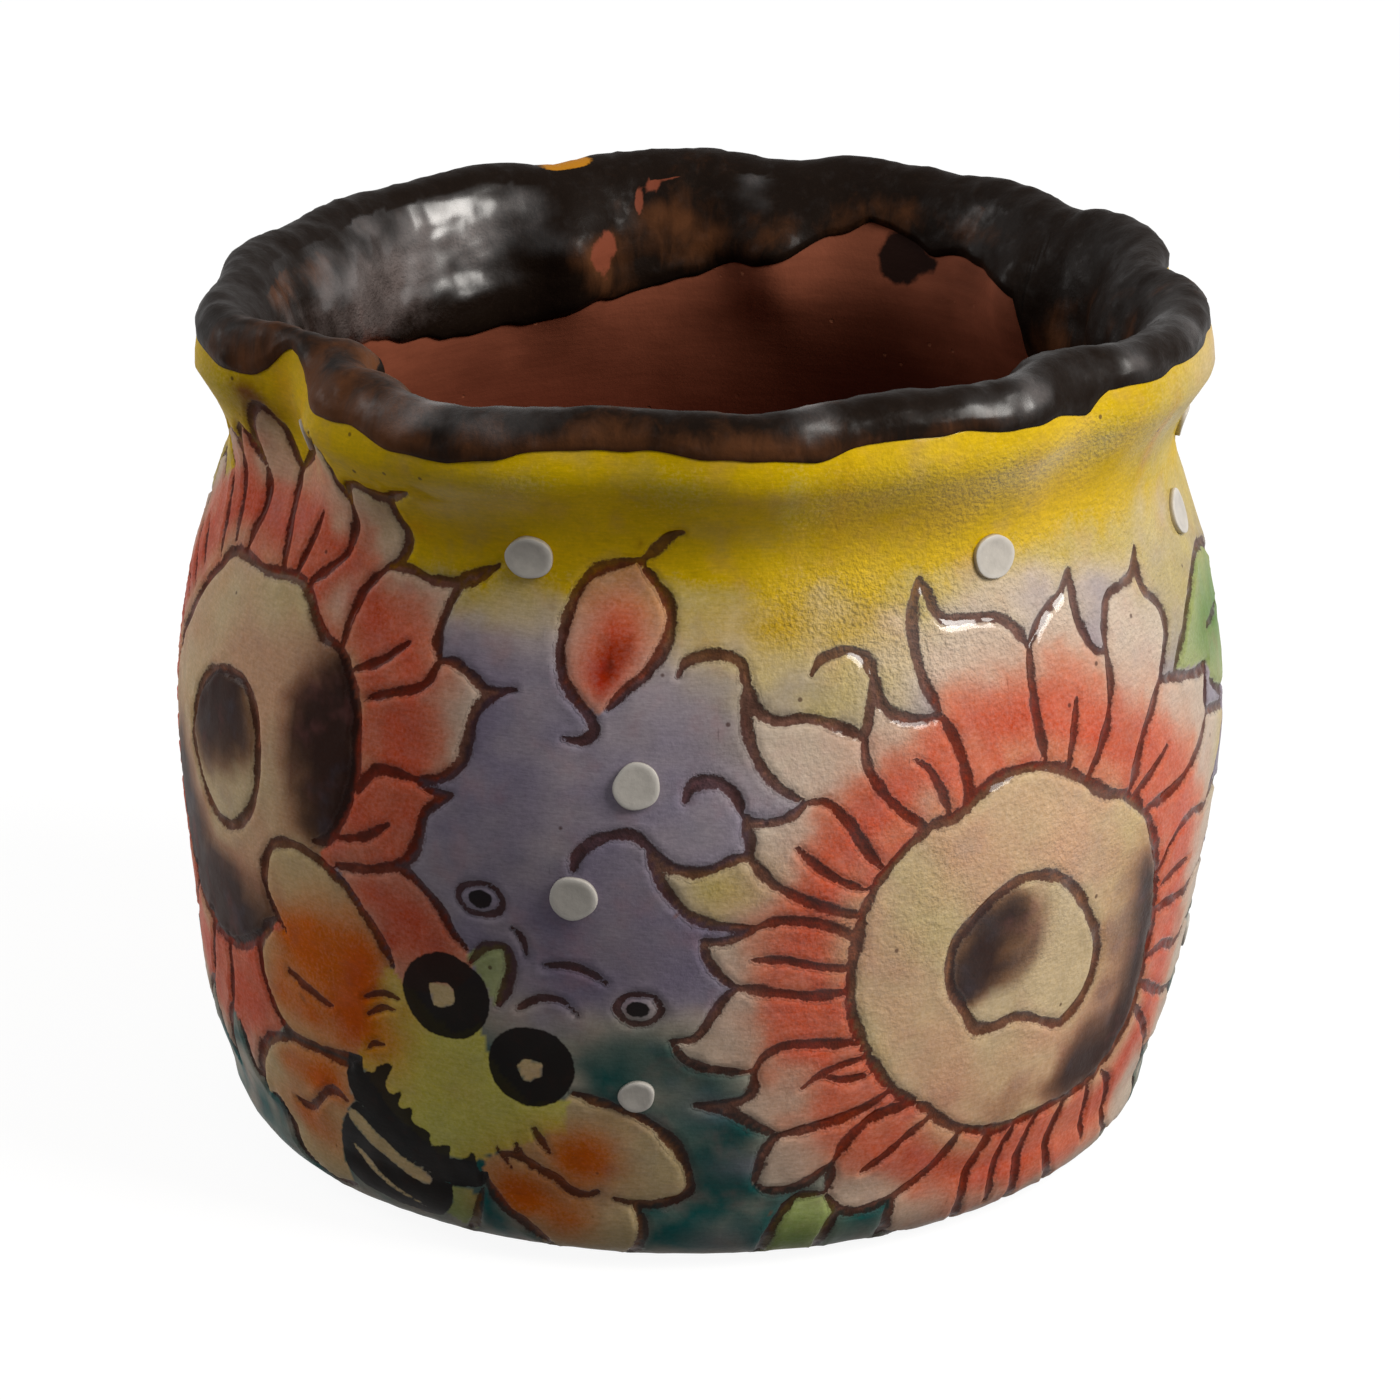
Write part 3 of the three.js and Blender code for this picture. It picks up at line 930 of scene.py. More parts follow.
RIGHT_FLOWER = Flower(
    centre=(38.5, 33.5),
    heart=track(17.4, 42.5, 19.3, 46, 24, 49.9, 28, 51, 31, 53.1, 35, 54.2, 40, 53.5, 44, 51.4, 48, 48.8, 52, 47.3,
        56, 43.6, 59, 38.2, 60.6, 33, 61.2, 27, 60.8, 21, 58, 17, 54, 14.4, 49, 13.6, 45, 13.4, 40, 13, 36.5, 13.1,
        31, 15, 27, 18, 22.5, 21, 18.8, 26, 16.6, 31, 16.2, 35, 16.6, 39),
    eye=track(27.6, 34.3, 28.3, 37.4, 30.6, 39.5, 32.9, 41.4, 36.5, 42.4, 40, 41.8, 43, 40, 46, 36.6, 48.4, 33,
        49.3, 30, 48.6, 26.8, 46.5, 24.5, 44.5, 23.8, 42, 24.7, 39.5, 25.8, 37, 26.3, 34.2, 25.9, 31.8, 26.5, 30, 29,
        28.2, 31.5),
    petals=(
        Petal(
            track(38.6, 66, 37.2, 68, 35, 69.5, 31, 70, 28.2, 70.3, 27, 71.6, 26.3, 73.4, 25.6, 74.6),
            track(25.6, 74.6, 24.5, 72, 24, 69, 24.5, 65.3, 26.3, 61.2),
            track(26.3, 61.2, 27.8, 58.5, 28.7, 55.4, 29, 52.8, 28.3, 51)),
        Petal(
            track(26.3, 61.2, 23.7, 61.1, 21, 61.9, 19.5, 63.6, 18.9, 66), track(18.9, 66, 18.3, 63, 17.5, 60),
            track(17.5, 60, 17.6, 57.5, 18.9, 54.8, 21.4, 52, 24.3, 50),
            track(18.3, 67.6, 16.6, 68.6, 14.6, 68.5, 13, 67.8, 12, 66.6),
            (track(26.8, 51, 25.8, 53.6, 24.6, 56, 23, 57.2),)),
        Petal(
            track(17.5, 60, 14.5, 61.5, 11.4, 62.4, 8, 62.4, 5.9, 63.7, 5, 66),
            track(5, 66, 4.9, 62, 6, 58.5, 8, 55.8, 11, 54),
            track(11, 54, 13.3, 53.8, 15.5, 51.5, 17.3, 48.6, 19.2, 46.3),
            track(4.5, 68, 2.5, 68.8, 0, 68.7, -1.7, 68, -2.3, 66.8)),
        Petal(
            track(11, 54, 9.4, 52.8, 7.2, 52.2, 5.3, 52.4, 4.4, 53.3), track(4.4, 53.3, 5, 50.8, 5.1, 48.7),
            track(5.1, 48.7, 7, 46.2, 10, 44.2, 14, 42.4, 17.2, 41.4),
            track(3.7, 55, 2, 56.4, 0, 56.5, -1.2, 55.7, -1.5, 54.6),
            (track(17.6, 44.2, 14.4, 45.6, 11.9, 47.5, 10, 49.4),)),
        Petal(
            track(5.1, 48.7, 3.5, 48.5, 1, 47.4, -1.5, 47.2, -3.8, 48.2, -5.3, 49.8),
            track(-5.3, 49.8, -4.4, 47, -2.9, 44.4, -1, 42.4, 2, 41.3, 5.8, 41),
            track(5.8, 41, 8.5, 41.7, 12, 41.2, 15, 40, 16.4, 38.8),
            track(-7, 51, -9.5, 50.7, -11.5, 49.7, -12.8, 48.2, -13, 47)),
        Petal(
            track(5.8, 41, 4, 40, 2, 39.5, 0.3, 39.8), track(0.3, 39.8, 0.8, 37.8, 2.2, 35.8, 4, 34.4),
            track(4, 34.4, 8, 33.7, 12, 33, 16, 33.2), (), (track(16.2, 35.6, 12.5, 36.3, 9, 37.2, 5.6, 37.4),)),
        Petal(
            track(4, 34.4, 2.4, 32.6, 1.2, 30.4, -0.2, 28.6, -2.6, 28.3),
            track(-2.6, 28.3, -1, 26.2, 1.5, 25.2, 4, 24.8, 6.5, 24.6),
            track(6.5, 24.6, 7.7, 26.6, 10, 27.6, 14, 27.4, 17.8, 27)),
        Petal(
            track(6.5, 24.6, 6.6, 22.6, 5.3, 21.3, 3, 20.9, 0.4, 20.9),
            track(0.4, 20.9, 2.2, 20.4, 4.6, 19.8, 7, 18.3, 9.8, 16.9),
            track(9.8, 16.9, 13, 17.5, 17, 18.3, 20, 19.5, 22.3, 20.8), (),
            (track(19.3, 25.2, 16.5, 24.7, 14, 23.8, 12, 22.3), track(19, 23, 16.5, 22.9, 14.3, 23.7))),
        Petal(
            track(9.8, 16.9, 8.4, 15.3, 7.9, 13, 7.6, 11.1),
            track(7.6, 11.1, 9, 10.1, 11.5, 9.9, 14.1, 11, 16.6, 12.8),
            track(16.6, 12.8, 17.9, 15.6, 20.5, 17.8, 23, 18.6, 26, 18.7)),
        Petal(
            track(16.6, 12.8, 16.5, 11, 16.2, 9), track(16.2, 9, 17.8, 7, 20, 6.2, 22.5, 6.6, 25, 7.3),
            track(25, 7.3, 28, 9, 30.8, 11.5, 32.4, 14.2), (), (track(28, 16.6, 25.5, 15, 23, 13, 20.4, 11.2),)),
        Petal(
            track(25, 7.3, 24.6, 4.6, 25.4, 2), track(25.4, 2, 30, 0.7, 36.5, 0.7),
            track(36.6, 1, 35.1, 4, 34.9, 7, 35.8, 10, 37.4, 12.9)),
        Petal(
            track(36.5, 0.7, 38, 0.5), track(38, 0.5, 42, 0.5, 46, 0.7),
            track(46, 1, 43.9, 4, 43.2, 7.6, 43.7, 11, 44.5, 13.2), (),
            (track(40.9, 12.9, 39.7, 9.6, 39.3, 6.4, 40, 3.2),)),
        Petal(
            track(46, 0.7, 49, 0.5), track(49, 0.5, 53, 0.7, 55, 1),
            track(54, 1.5, 50.2, 4.3, 48.5, 7.6, 48.6, 11, 49.4, 13.5)),
        Petal(
            track(55, 1, 58, 1), track(58, 1, 62, 2.2, 65, 4), track(65, 4, 62, 6.4, 60.8, 9.6, 59, 12.5, 56.4, 14.4),
            (), (track(53.7, 13.8, 54.9, 11.2, 55.7, 8.6, 56.8, 6),)),
        Petal(
            track(65, 4, 69, 3.4, 73, 3), track(73, 3, 73.4, 6.5, 72, 9.6, 70.6, 12),
            track(70.6, 12, 68, 15, 64.6, 17.8, 61.3, 20.4)),
        Petal(
            track(70.6, 12, 76, 11.4, 81, 9.6), track(81, 9.6, 81.4, 13, 79, 16, 75.5, 18),
            track(75.5, 18, 71, 18.9, 66, 21, 61.4, 23.2)),
        Petal(
            track(75.5, 18, 80, 18.4, 86, 17.4), track(86, 17.4, 85, 21.4, 81, 24.2, 77, 25.4),
            track(77, 25.4, 72, 24.2, 66.5, 26, 61.3, 26.2)),
        Petal(
            track(77, 25.4, 82, 26, 88, 25.6), track(88, 25.6, 86, 29.4, 81.5, 31.4, 77, 31.6),
            track(77, 31.6, 71, 30.6, 66, 31.2, 61, 31.8)),
        Petal(
            track(77, 31.6, 82, 33.4, 88, 34.2), track(88, 34.2, 84.4, 38.2, 78.4, 40.4, 73, 39.4),
            track(73, 39.4, 69, 40.4, 65.6, 40.4, 62.6, 39.2, 60.2, 36.6), (),
            (track(61.6, 34.5, 65, 34.9, 69.4, 34.8),)),
        Petal(
            track(73, 39.4, 78, 42.6, 81.6, 44.2, 86, 47), track(86, 47, 81.4, 48.2, 77, 49.4, 72, 50.6),
            track(72, 50.6, 70.2, 48.8, 67, 46.8, 62, 45.4, 55.4, 45)),
        Petal(
            track(72, 50.6, 71.8, 52.6, 72.8, 54.2, 74.2, 55.3),
            track(74.2, 55.3, 70.6, 55.4, 66.5, 56.2, 62.6, 57.2, 59.5, 57.6),
            track(59.5, 57.6, 57.4, 55.6, 55, 53, 53.5, 50.6, 52, 47.6), (),
            (track(53, 47.2, 56.2, 48.6, 60, 50.5),)),
        Petal(
            track(59.5, 57.6, 61.6, 60.2, 62.7, 63, 62, 65.2, 60, 66.9, 59.4, 69, 60.4, 71.4),
            track(60.4, 71.4, 58.5, 69.3, 55.5, 68.7, 52.4, 68.2, 50.6, 66, 50, 63.4),
            track(50, 63.4, 50, 60, 49.1, 56.6, 47.3, 53.8, 45.2, 51.2)),
        Petal(
            track(50, 63.4, 48.4, 63.6, 47, 65.5, 46.4, 68.2, 46.8, 72),
            track(46.8, 72, 44.6, 70.1, 42, 69, 40, 67.6, 38.6, 66),
            track(38.6, 66, 38.2, 62.5, 38.4, 58, 39.2, 54.2), (), (track(42.3, 52.8, 43.3, 56, 44.4, 59.6),)),
    ),
    shade=puffs(
        (53, 17.6, 4.6, 3.6, 1.0), (57, 20.6, 3, 4.6, 0.95), (48, 16.2, 5, 2.2, 0.7), (58.8, 26, 2.6, 5, 0.85),
        (58.6, 31.5, 2.8, 5, 0.7), (56.2, 37, 3, 5, 0.5), (50.6, 20.4, 4, 3.6, 0.35), (54, 30, 8, 13, 0.3),
        (36, 15, 16, 6, 0.24),
    ),
    eye_shade=puffs(
        (31.5, 35, 3.4, 4.2, 1.0), (35, 38.6, 4, 3, 0.9), (33.6, 32.6, 4, 3.4, 0.75), (30.2, 31.6, 2.6, 2.6, 0.8),
        (37.5, 36, 3, 4, 0.4),
    ),
    flush=(5.0, 14.2),
    pale=puffs(
        (3, 45, 5, 4, 0.8), (5, 22, 5, 4, 0.7), (11, 13.5, 5, 4, 0.85), (20, 8.5, 5, 3, 0.7), (29, 5, 5, 4, 0.6),
        (24, 53, 2.2, 2.4, 0.5), (60, 62, 4, 3, 0.5), (82, 46, 5, 4, 0.6), (12, 22, 4, 3, 0.4),
    ),
    tint=puffs((2, 45, 5, 4, 0.7), (25.5, 72, 2.5, 3, 0.7), (60, 69, 3, 3, 0.6), (82, 44, 6, 6, 0.5)),
)

LEFT_HEART = track(-77, 60.6, -74.4, 63.6, -71, 66.6, -68, 69, -64, 69.6, -59, 69.4, -55, 69.9, -52, 70.1, -49.5, 69,
    -47.5, 67, -45.5, 65.6, -43, 65, -41, 63, -39.5, 60, -38.8, 56, -39, 52, -40.5, 48, -42.5, 45.2, -46, 40, -49, 36,
    -53.5, 32.2, -57, 29.8, -61, 27.8, -65, 27, -70, 27.6, -75, 29.5, -79, 33.5, -82, 39, -83.5, 46, -83, 52,
    -80.5, 57)
LEFT_FLOWER = Flower(
    centre=(-61, 49),
    heart=LEFT_HEART,
    heart_cuts=(LEFT_HEART[20:] + LEFT_HEART[:18] + track(-44.8, 44.3),),
    eye=track(-71.8, 49, -71, 52, -69, 55, -66, 57, -62.5, 57.8, -59, 57.8, -56.5, 56.3, -55, 53.5, -54.6, 50,
        -55.2, 46.5, -57.5, 43.3, -60.5, 41.6, -64, 41.4, -67.5, 43, -70.5, 46),
    petals=(
        Petal(
            track(-41.5, 42.5, -38.5, 42.9, -35.5, 43.6, -32.6, 44.8, -31, 46.4, -30.3, 48.6, -29.5, 51, -26.6, 53.1),
            track(-26.6, 53.1, -29, 53.1, -31, 54), track(-31, 54, -35, 54.3, -36.9, 53.3, -38.4, 51.2), (),
            (track(-41, 45.7, -37.5, 46.6, -34.2, 48.7),)),
        Petal(
            track(-31, 54, -28, 54.6, -25.8, 56.3, -25, 59, -24.4, 61.8, -22.5, 63.8, -20, 64.6),
            track(-20, 64.6, -23, 64, -25.4, 65.4, -27.4, 66.3, -29.3, 66.2),
            track(-29.3, 66.2, -30.3, 64.2, -32, 63, -35, 62.1, -38, 61)),
        Petal(
            track(-29.3, 66.2, -29.9, 68, -29.7, 70, -28.9, 72.2, -27.6, 74.3, -25.6, 75.2, -23.3, 76.2),
            track(-23.3, 76.2, -26.4, 74.4, -29, 73.8, -32, 73.7, -35, 74.3, -38, 74),
            track(-38, 74, -40.5, 71.8, -42, 69, -42.6, 65.4), (), (track(-40, 63.6, -37, 64.9, -33.6, 67.3),)),
        Petal(
            track(-38, 74, -36.2, 75.2, -35.3, 76.6, -35.2, 78, -36.6, 80, -36.5, 82, -33.5, 83.2),
            track(-33.5, 83.2, -36.4, 81.9, -39, 81.6, -41.4, 82.1, -43.6, 81.5, -44, 79.5),
            track(-44, 79.5, -43.6, 77.4, -44.6, 74.3, -47, 72.2, -49.8, 70.3)),
        Petal(
            track(-44, 79.5, -45.8, 81.4, -46.4, 83.8, -47.6, 86.4),
            track(-47.6, 86.4, -50.4, 84, -55, 82.2, -57.2, 80.6, -58.6, 79.6),
            track(-58.6, 79.6, -58.2, 77.6, -57.2, 75.2, -56, 73, -55.4, 70.3), (),
            (track(-52.6, 70.6, -51.5, 74, -50.6, 77),)),
        Petal(
            track(-58.6, 79.6, -60.6, 81.2, -61.6, 83, -62.8, 83.9),
            track(-62.8, 83.9, -64.6, 84.9, -66.8, 83.2, -67.4, 80.8, -65.6, 78.6),
            track(-65.6, 78.6, -63.9, 76.6, -63.2, 74.5, -64, 71.9, -64.8, 70), (),
            (track(-58.4, 79.7, -57.4, 80.6, -55, 81.6),)),
        Petal(
            track(-65.6, 78.6, -68.2, 80, -70.2, 82), track(-70.2, 82, -71.6, 80.4, -71.4, 78.4),
            track(-71.4, 78.4, -69.6, 74.8, -68.2, 70.2)),
        Petal(
            track(-71.4, 78.4, -74, 80, -77.6, 80.2), track(-77.6, 80.2, -77.8, 77.6, -75.4, 76),
            track(-75.4, 76, -73.4, 71.6, -71.6, 67.4)),
    )
    + FlowerSeed((-61, 49), (22.2, 21.2), 9, (128, 262), 1.86, 1.46, 0.35, 3, 1.6, 78).grow()
    + (
        Petal(track(-64.6, 17.6, -63, 13, -61.4, 11.6), track(-61.4, 11.6, -59.6, 15, -57.4, 18)),
    ),
    covered=track(-54, 20, -48, 26, -44, 34, -41.5, 42.5),
    shade=puffs(
        (-41.6, 59, 4, 6.5, 1.0), (-41.4, 51.6, 4, 6, 1.0), (-45, 56, 4, 8, 0.75), (-48, 54, 4, 9, 0.4),
        (-43, 46.6, 4, 3.6, 0.7), (-68, 30, 10, 6, 1.0), (-60, 29.6, 7, 5, 1.0), (-77, 35, 7, 8, 1.0),
        (-66, 35, 8, 3.6, 0.7), (-79, 40, 6, 8, 1.0), (-72, 27, 9, 6, 1.0), (-54, 33.4, 4, 4, 0.5),
    ),
    eye_shade=puffs(
        (-64, 55, 6.6, 4, 1.0), (-60, 53, 5, 4.4, 0.9), (-68, 51, 4, 5, 1.0), (-64.4, 50, 5, 3.6, 0.6),
    ),
    flush=(6.5, 15.5),
    pale=puffs((-61, 79.4, 9, 2.4, 0.9), (-46, 79, 4, 3.4, 0.6), (-44, 69, 3, 3, 0.75), (-26, 69, 3, 3, 0.5),
        (-25, 61, 3, 4, 0.5)),
    tint=puffs((-55, 84, 7, 4.5, 0.8), (-39, 80, 3, 3, 0.3)),
)

BACK_FLOWERS = (
    FlowerSeed((124, 42), (21, 20.4), 17, (8, 368), 1.84, 1.46, 0.4, 5).flower(),
    FlowerSeed((209, 36), (21.4, 20.6), 17, (0, 360), 1.86, 1.46, 0.4, 9).flower(),
)


@dataclass(frozen=True)
class Sketch:
    """A small motif of patches, sprays, cuts and inked shapes.

    Attributes:
        patches: grounds, laid first.
        sprays: colour and sprays over them, kept inside the patches.
        cuts: lines and their widths.
        inks: closed dark shapes.
        bare: closed light shapes left inside the dark ones, which show the paint.
        bare_paint: colour in those.
    """

    patches: tuple[Patch, ...] = ()
    sprays: tuple[tuple[Paint, tuple[Puff, ...]], ...] = ()
    cuts: tuple[Stroke, ...] = ()
    inks: tuple[Points, ...] = ()
    bare: tuple[Points, ...] = ()
    bare_paint: Paint = Paint.WING

    def strokes(self) -> list[Stroke]:
        """Every cut of the motif."""
        return list(self.cuts)

    def paint(self, canvas: Canvas) -> None:
        """Lays the motif's colours on the canvas.

        Args:
            canvas: the outside of the pot.
        """
        held = np.zeros(len(canvas.azimuth))
        for patch in self.patches:
            mask = canvas.inside(np.array(patch.outline, float)).astype(float)
            canvas.lay(patch.paint, mask * patch.amount * (0.94 + 0.06 * canvas.soft))
            held = np.maximum(held, mask)
        for paint, sprays in self.sprays:
            canvas.lay(paint, canvas.spray(sprays) * (held if self.patches else 1))
        for outline in self.bare:
            canvas.lay(self.bare_paint, canvas.inside(smooth_line(outline, 4, True)).astype(float))


def ring(at: float, height: float, across: float, up: float, wobble: float = 0.05, seed: int = 0) -> Points:
    """Closed, slightly uneven oval of azimuth and height.

    Args:
        at: azimuth of its middle.
        height: height of its middle.
        across: half width in degrees.
        up: half height.
        wobble: unevenness, as a share.
        seed: which random variation.

    Returns:
        Its points.
    """
    random = np.random.default_rng(seed)
    turns = np.radians(np.arange(0, 360, 30))
    reach = 1 + random.uniform(-wobble, wobble, len(turns))
    return tuple(
        (at + across * share * math.cos(turn), height + up * share * math.sin(turn))
        for turn, share in zip(turns, reach))


DROP_EDGE = track(-6.8, 77.8, -9.5, 77.3, -12.3, 76.3, -14, 74.2, -15, 71.3, -15.4, 68.5, -14.6, 65.7, -13, 63.9)
DROP_BACK = track(-6.8, 77.6, -5.2, 75.8, -3.5, 73.8, -3.2, 71.5, -4.2, 69, -6, 66.8, -8, 65.3, -9.7, 63.6)
DROP = Sketch(
    patches=(Patch(DROP_EDGE + track(-11, 62.8) + DROP_BACK[::-1], Paint.BLUSH, 0.75),),
    sprays=(
        (Paint.CORAL, puffs((-9.3, 71, 3.6, 4.2, 1.0), (-10.6, 67.6, 2.4, 2.6, 0.7))),
        (Paint.CORAL_DEEP, puffs((-8.8, 69.6, 1.6, 1.8, 0.8), (-9.8, 67.6, 1.3, 1.6, 0.85),
            (-10.7, 65.8, 0.8, 1.3, 0.7))),
        (Paint.BARK, puffs((-8.6, 69.4, 1.0, 1.2, 0.6), (-9.6, 67.8, 0.7, 1.2, 0.5))),
    ),
    cuts=(
        Stroke(DROP_EDGE + track(-11.7, 62.6, -11.2, 61.2, -12.4, 60.1, -14.4, 60.2)),
        Stroke(DROP_BACK),
        Stroke(track(-6.7, 77.7, -4.7, 79.2, -3.1, 80.6, -2, 80.9)),
    ),
)

LEAF_TOP = track(63.4, 57.6, 66.5, 60, 70, 62.8, 74.5, 65, 80, 66, 86, 64.8, 92, 61.8, 97, 56.6)
RIGHT_LEAF = Sketch(
    patches=(
        Patch(LEAF_TOP + track(92, 52.6, 86, 49.4, 80, 50.4, 74.4, 53.4, 74, 55.4, 68, 56.6), Paint.LEAF_PALE, 0.9),
    ),
    sprays=((Paint.LEAF, puffs((82, 58.5, 9, 5, 1.0), (75, 59.5, 5, 3.4, 0.8), (90, 56, 5, 4, 0.8))),),
    cuts=(
        Stroke(LEAF_TOP),
        Stroke(track(74.4, 53.2, 78.4, 51, 82.4, 49.6, 87, 49.6, 92, 52.4, 97, 56.6)),
        Stroke(track(76, 58.6, 82, 58.4, 89, 57.4), 0.9),
    ),
)

GREEN_SPRIG = Sketch(
    patches=(
        Patch(
            track(9.2, 0.5, 9.3, 3, 10.5, 6.5, 12.5, 8.9, 14.8, 9.2, 16.3, 8.7, 17.8, 7, 16.9, 4.5, 16.5, 2, 17, 0.5),
            Paint.LEAF_PALE, 0.95),
        Patch(
            track(18.3, 6.7, 20.5, 6.2, 23, 6.8, 24.7, 7, 24.7, 3, 25.3, 0.5, 17.4, 0.5, 17, 3, 17.6, 5.2),
            Paint.TEAL, 0.6),
    ),
    sprays=((Paint.LEAF, puffs((14, 3, 4, 4, 0.5))),),
    cuts=(
        Stroke(track(9.2, 1, 9.5, 3.6, 10.7, 6.6, 12.6, 8.8, 14.9, 9.2, 16.3, 8.8)),
        Stroke(track(18.2, 6.9, 17, 4.8, 16.5, 2.4, 17, 0.8)),
        Stroke(track(24.8, 7, 24.5, 4.4, 25, 1.4)),
    ),
)

WING_TOP = track(-34.4, 32.8, -35.6, 35.2, -38, 38, -41, 40.8, -45, 42.6, -49, 43, -52, 42, -53.8, 39.5, -53.9, 36.5,
    -52.4, 34.2, -50.8, 32.6)
WING_SIDE = track(-52.8, 33.4, -55, 31.5, -56.6, 28.5, -56, 25, -54, 22, -51.5, 20.5, -47, 20.2, -42.6, 20.5, -40, 20.9)
WING_LOW = track(-41.5, 19.6, -46, 20, -51, 20, -55.5, 18.8, -58.8, 16.5, -60.8, 13.5, -61.3, 10.6)
WING_FRONT = track(-13.2, 21.6, -10, 20.9, -6.5, 19.8, -3.5, 18, -1.3, 15.6, 0, 12.6, 0.1, 10.5, -1.3, 9.2, -3.7, 8.6,
    -6.2, 8.5, -8.6, 9)
WING_FOOT = track(-6.4, 8.5, -5.4, 6.2, -5.6, 4, -6.6, 2, -7.6, 0.8)
FUR = track(-41.8, 21.2, -39.5, 21.3, -39.3, 19.5, -37.7, 20, -37.2, 20.8, -35, 21.5, -36.2, 19, -35.6, 17.9,
    -34, 18.5, -34.7, 16.5, -32.8, 16.8, -33, 15.2, -30.8, 14.2, -31, 12.6, -28.3, 13.2, -28.6, 11.5, -26.5, 12,
    -25.3, 13, -25, 10.8, -23.8, 10.4, -24.5, 9, -26, 8.3, -28.5, 8, -31, 8.5, -34, 10, -37, 12.5, -39.5, 14.8,
    -41.2, 15.8, -42, 18)
TAIL = track(-40.6, 15.6, -42.6, 14.2, -44.6, 11.6, -46, 8.6, -45.6, 6, -43, 4.4, -38, 3.5, -33, 3.2, -30.8, 4.2,
    -29.4, 5.8, -29.2, 7.8, -31, 8.6, -34, 10, -37, 12.5)
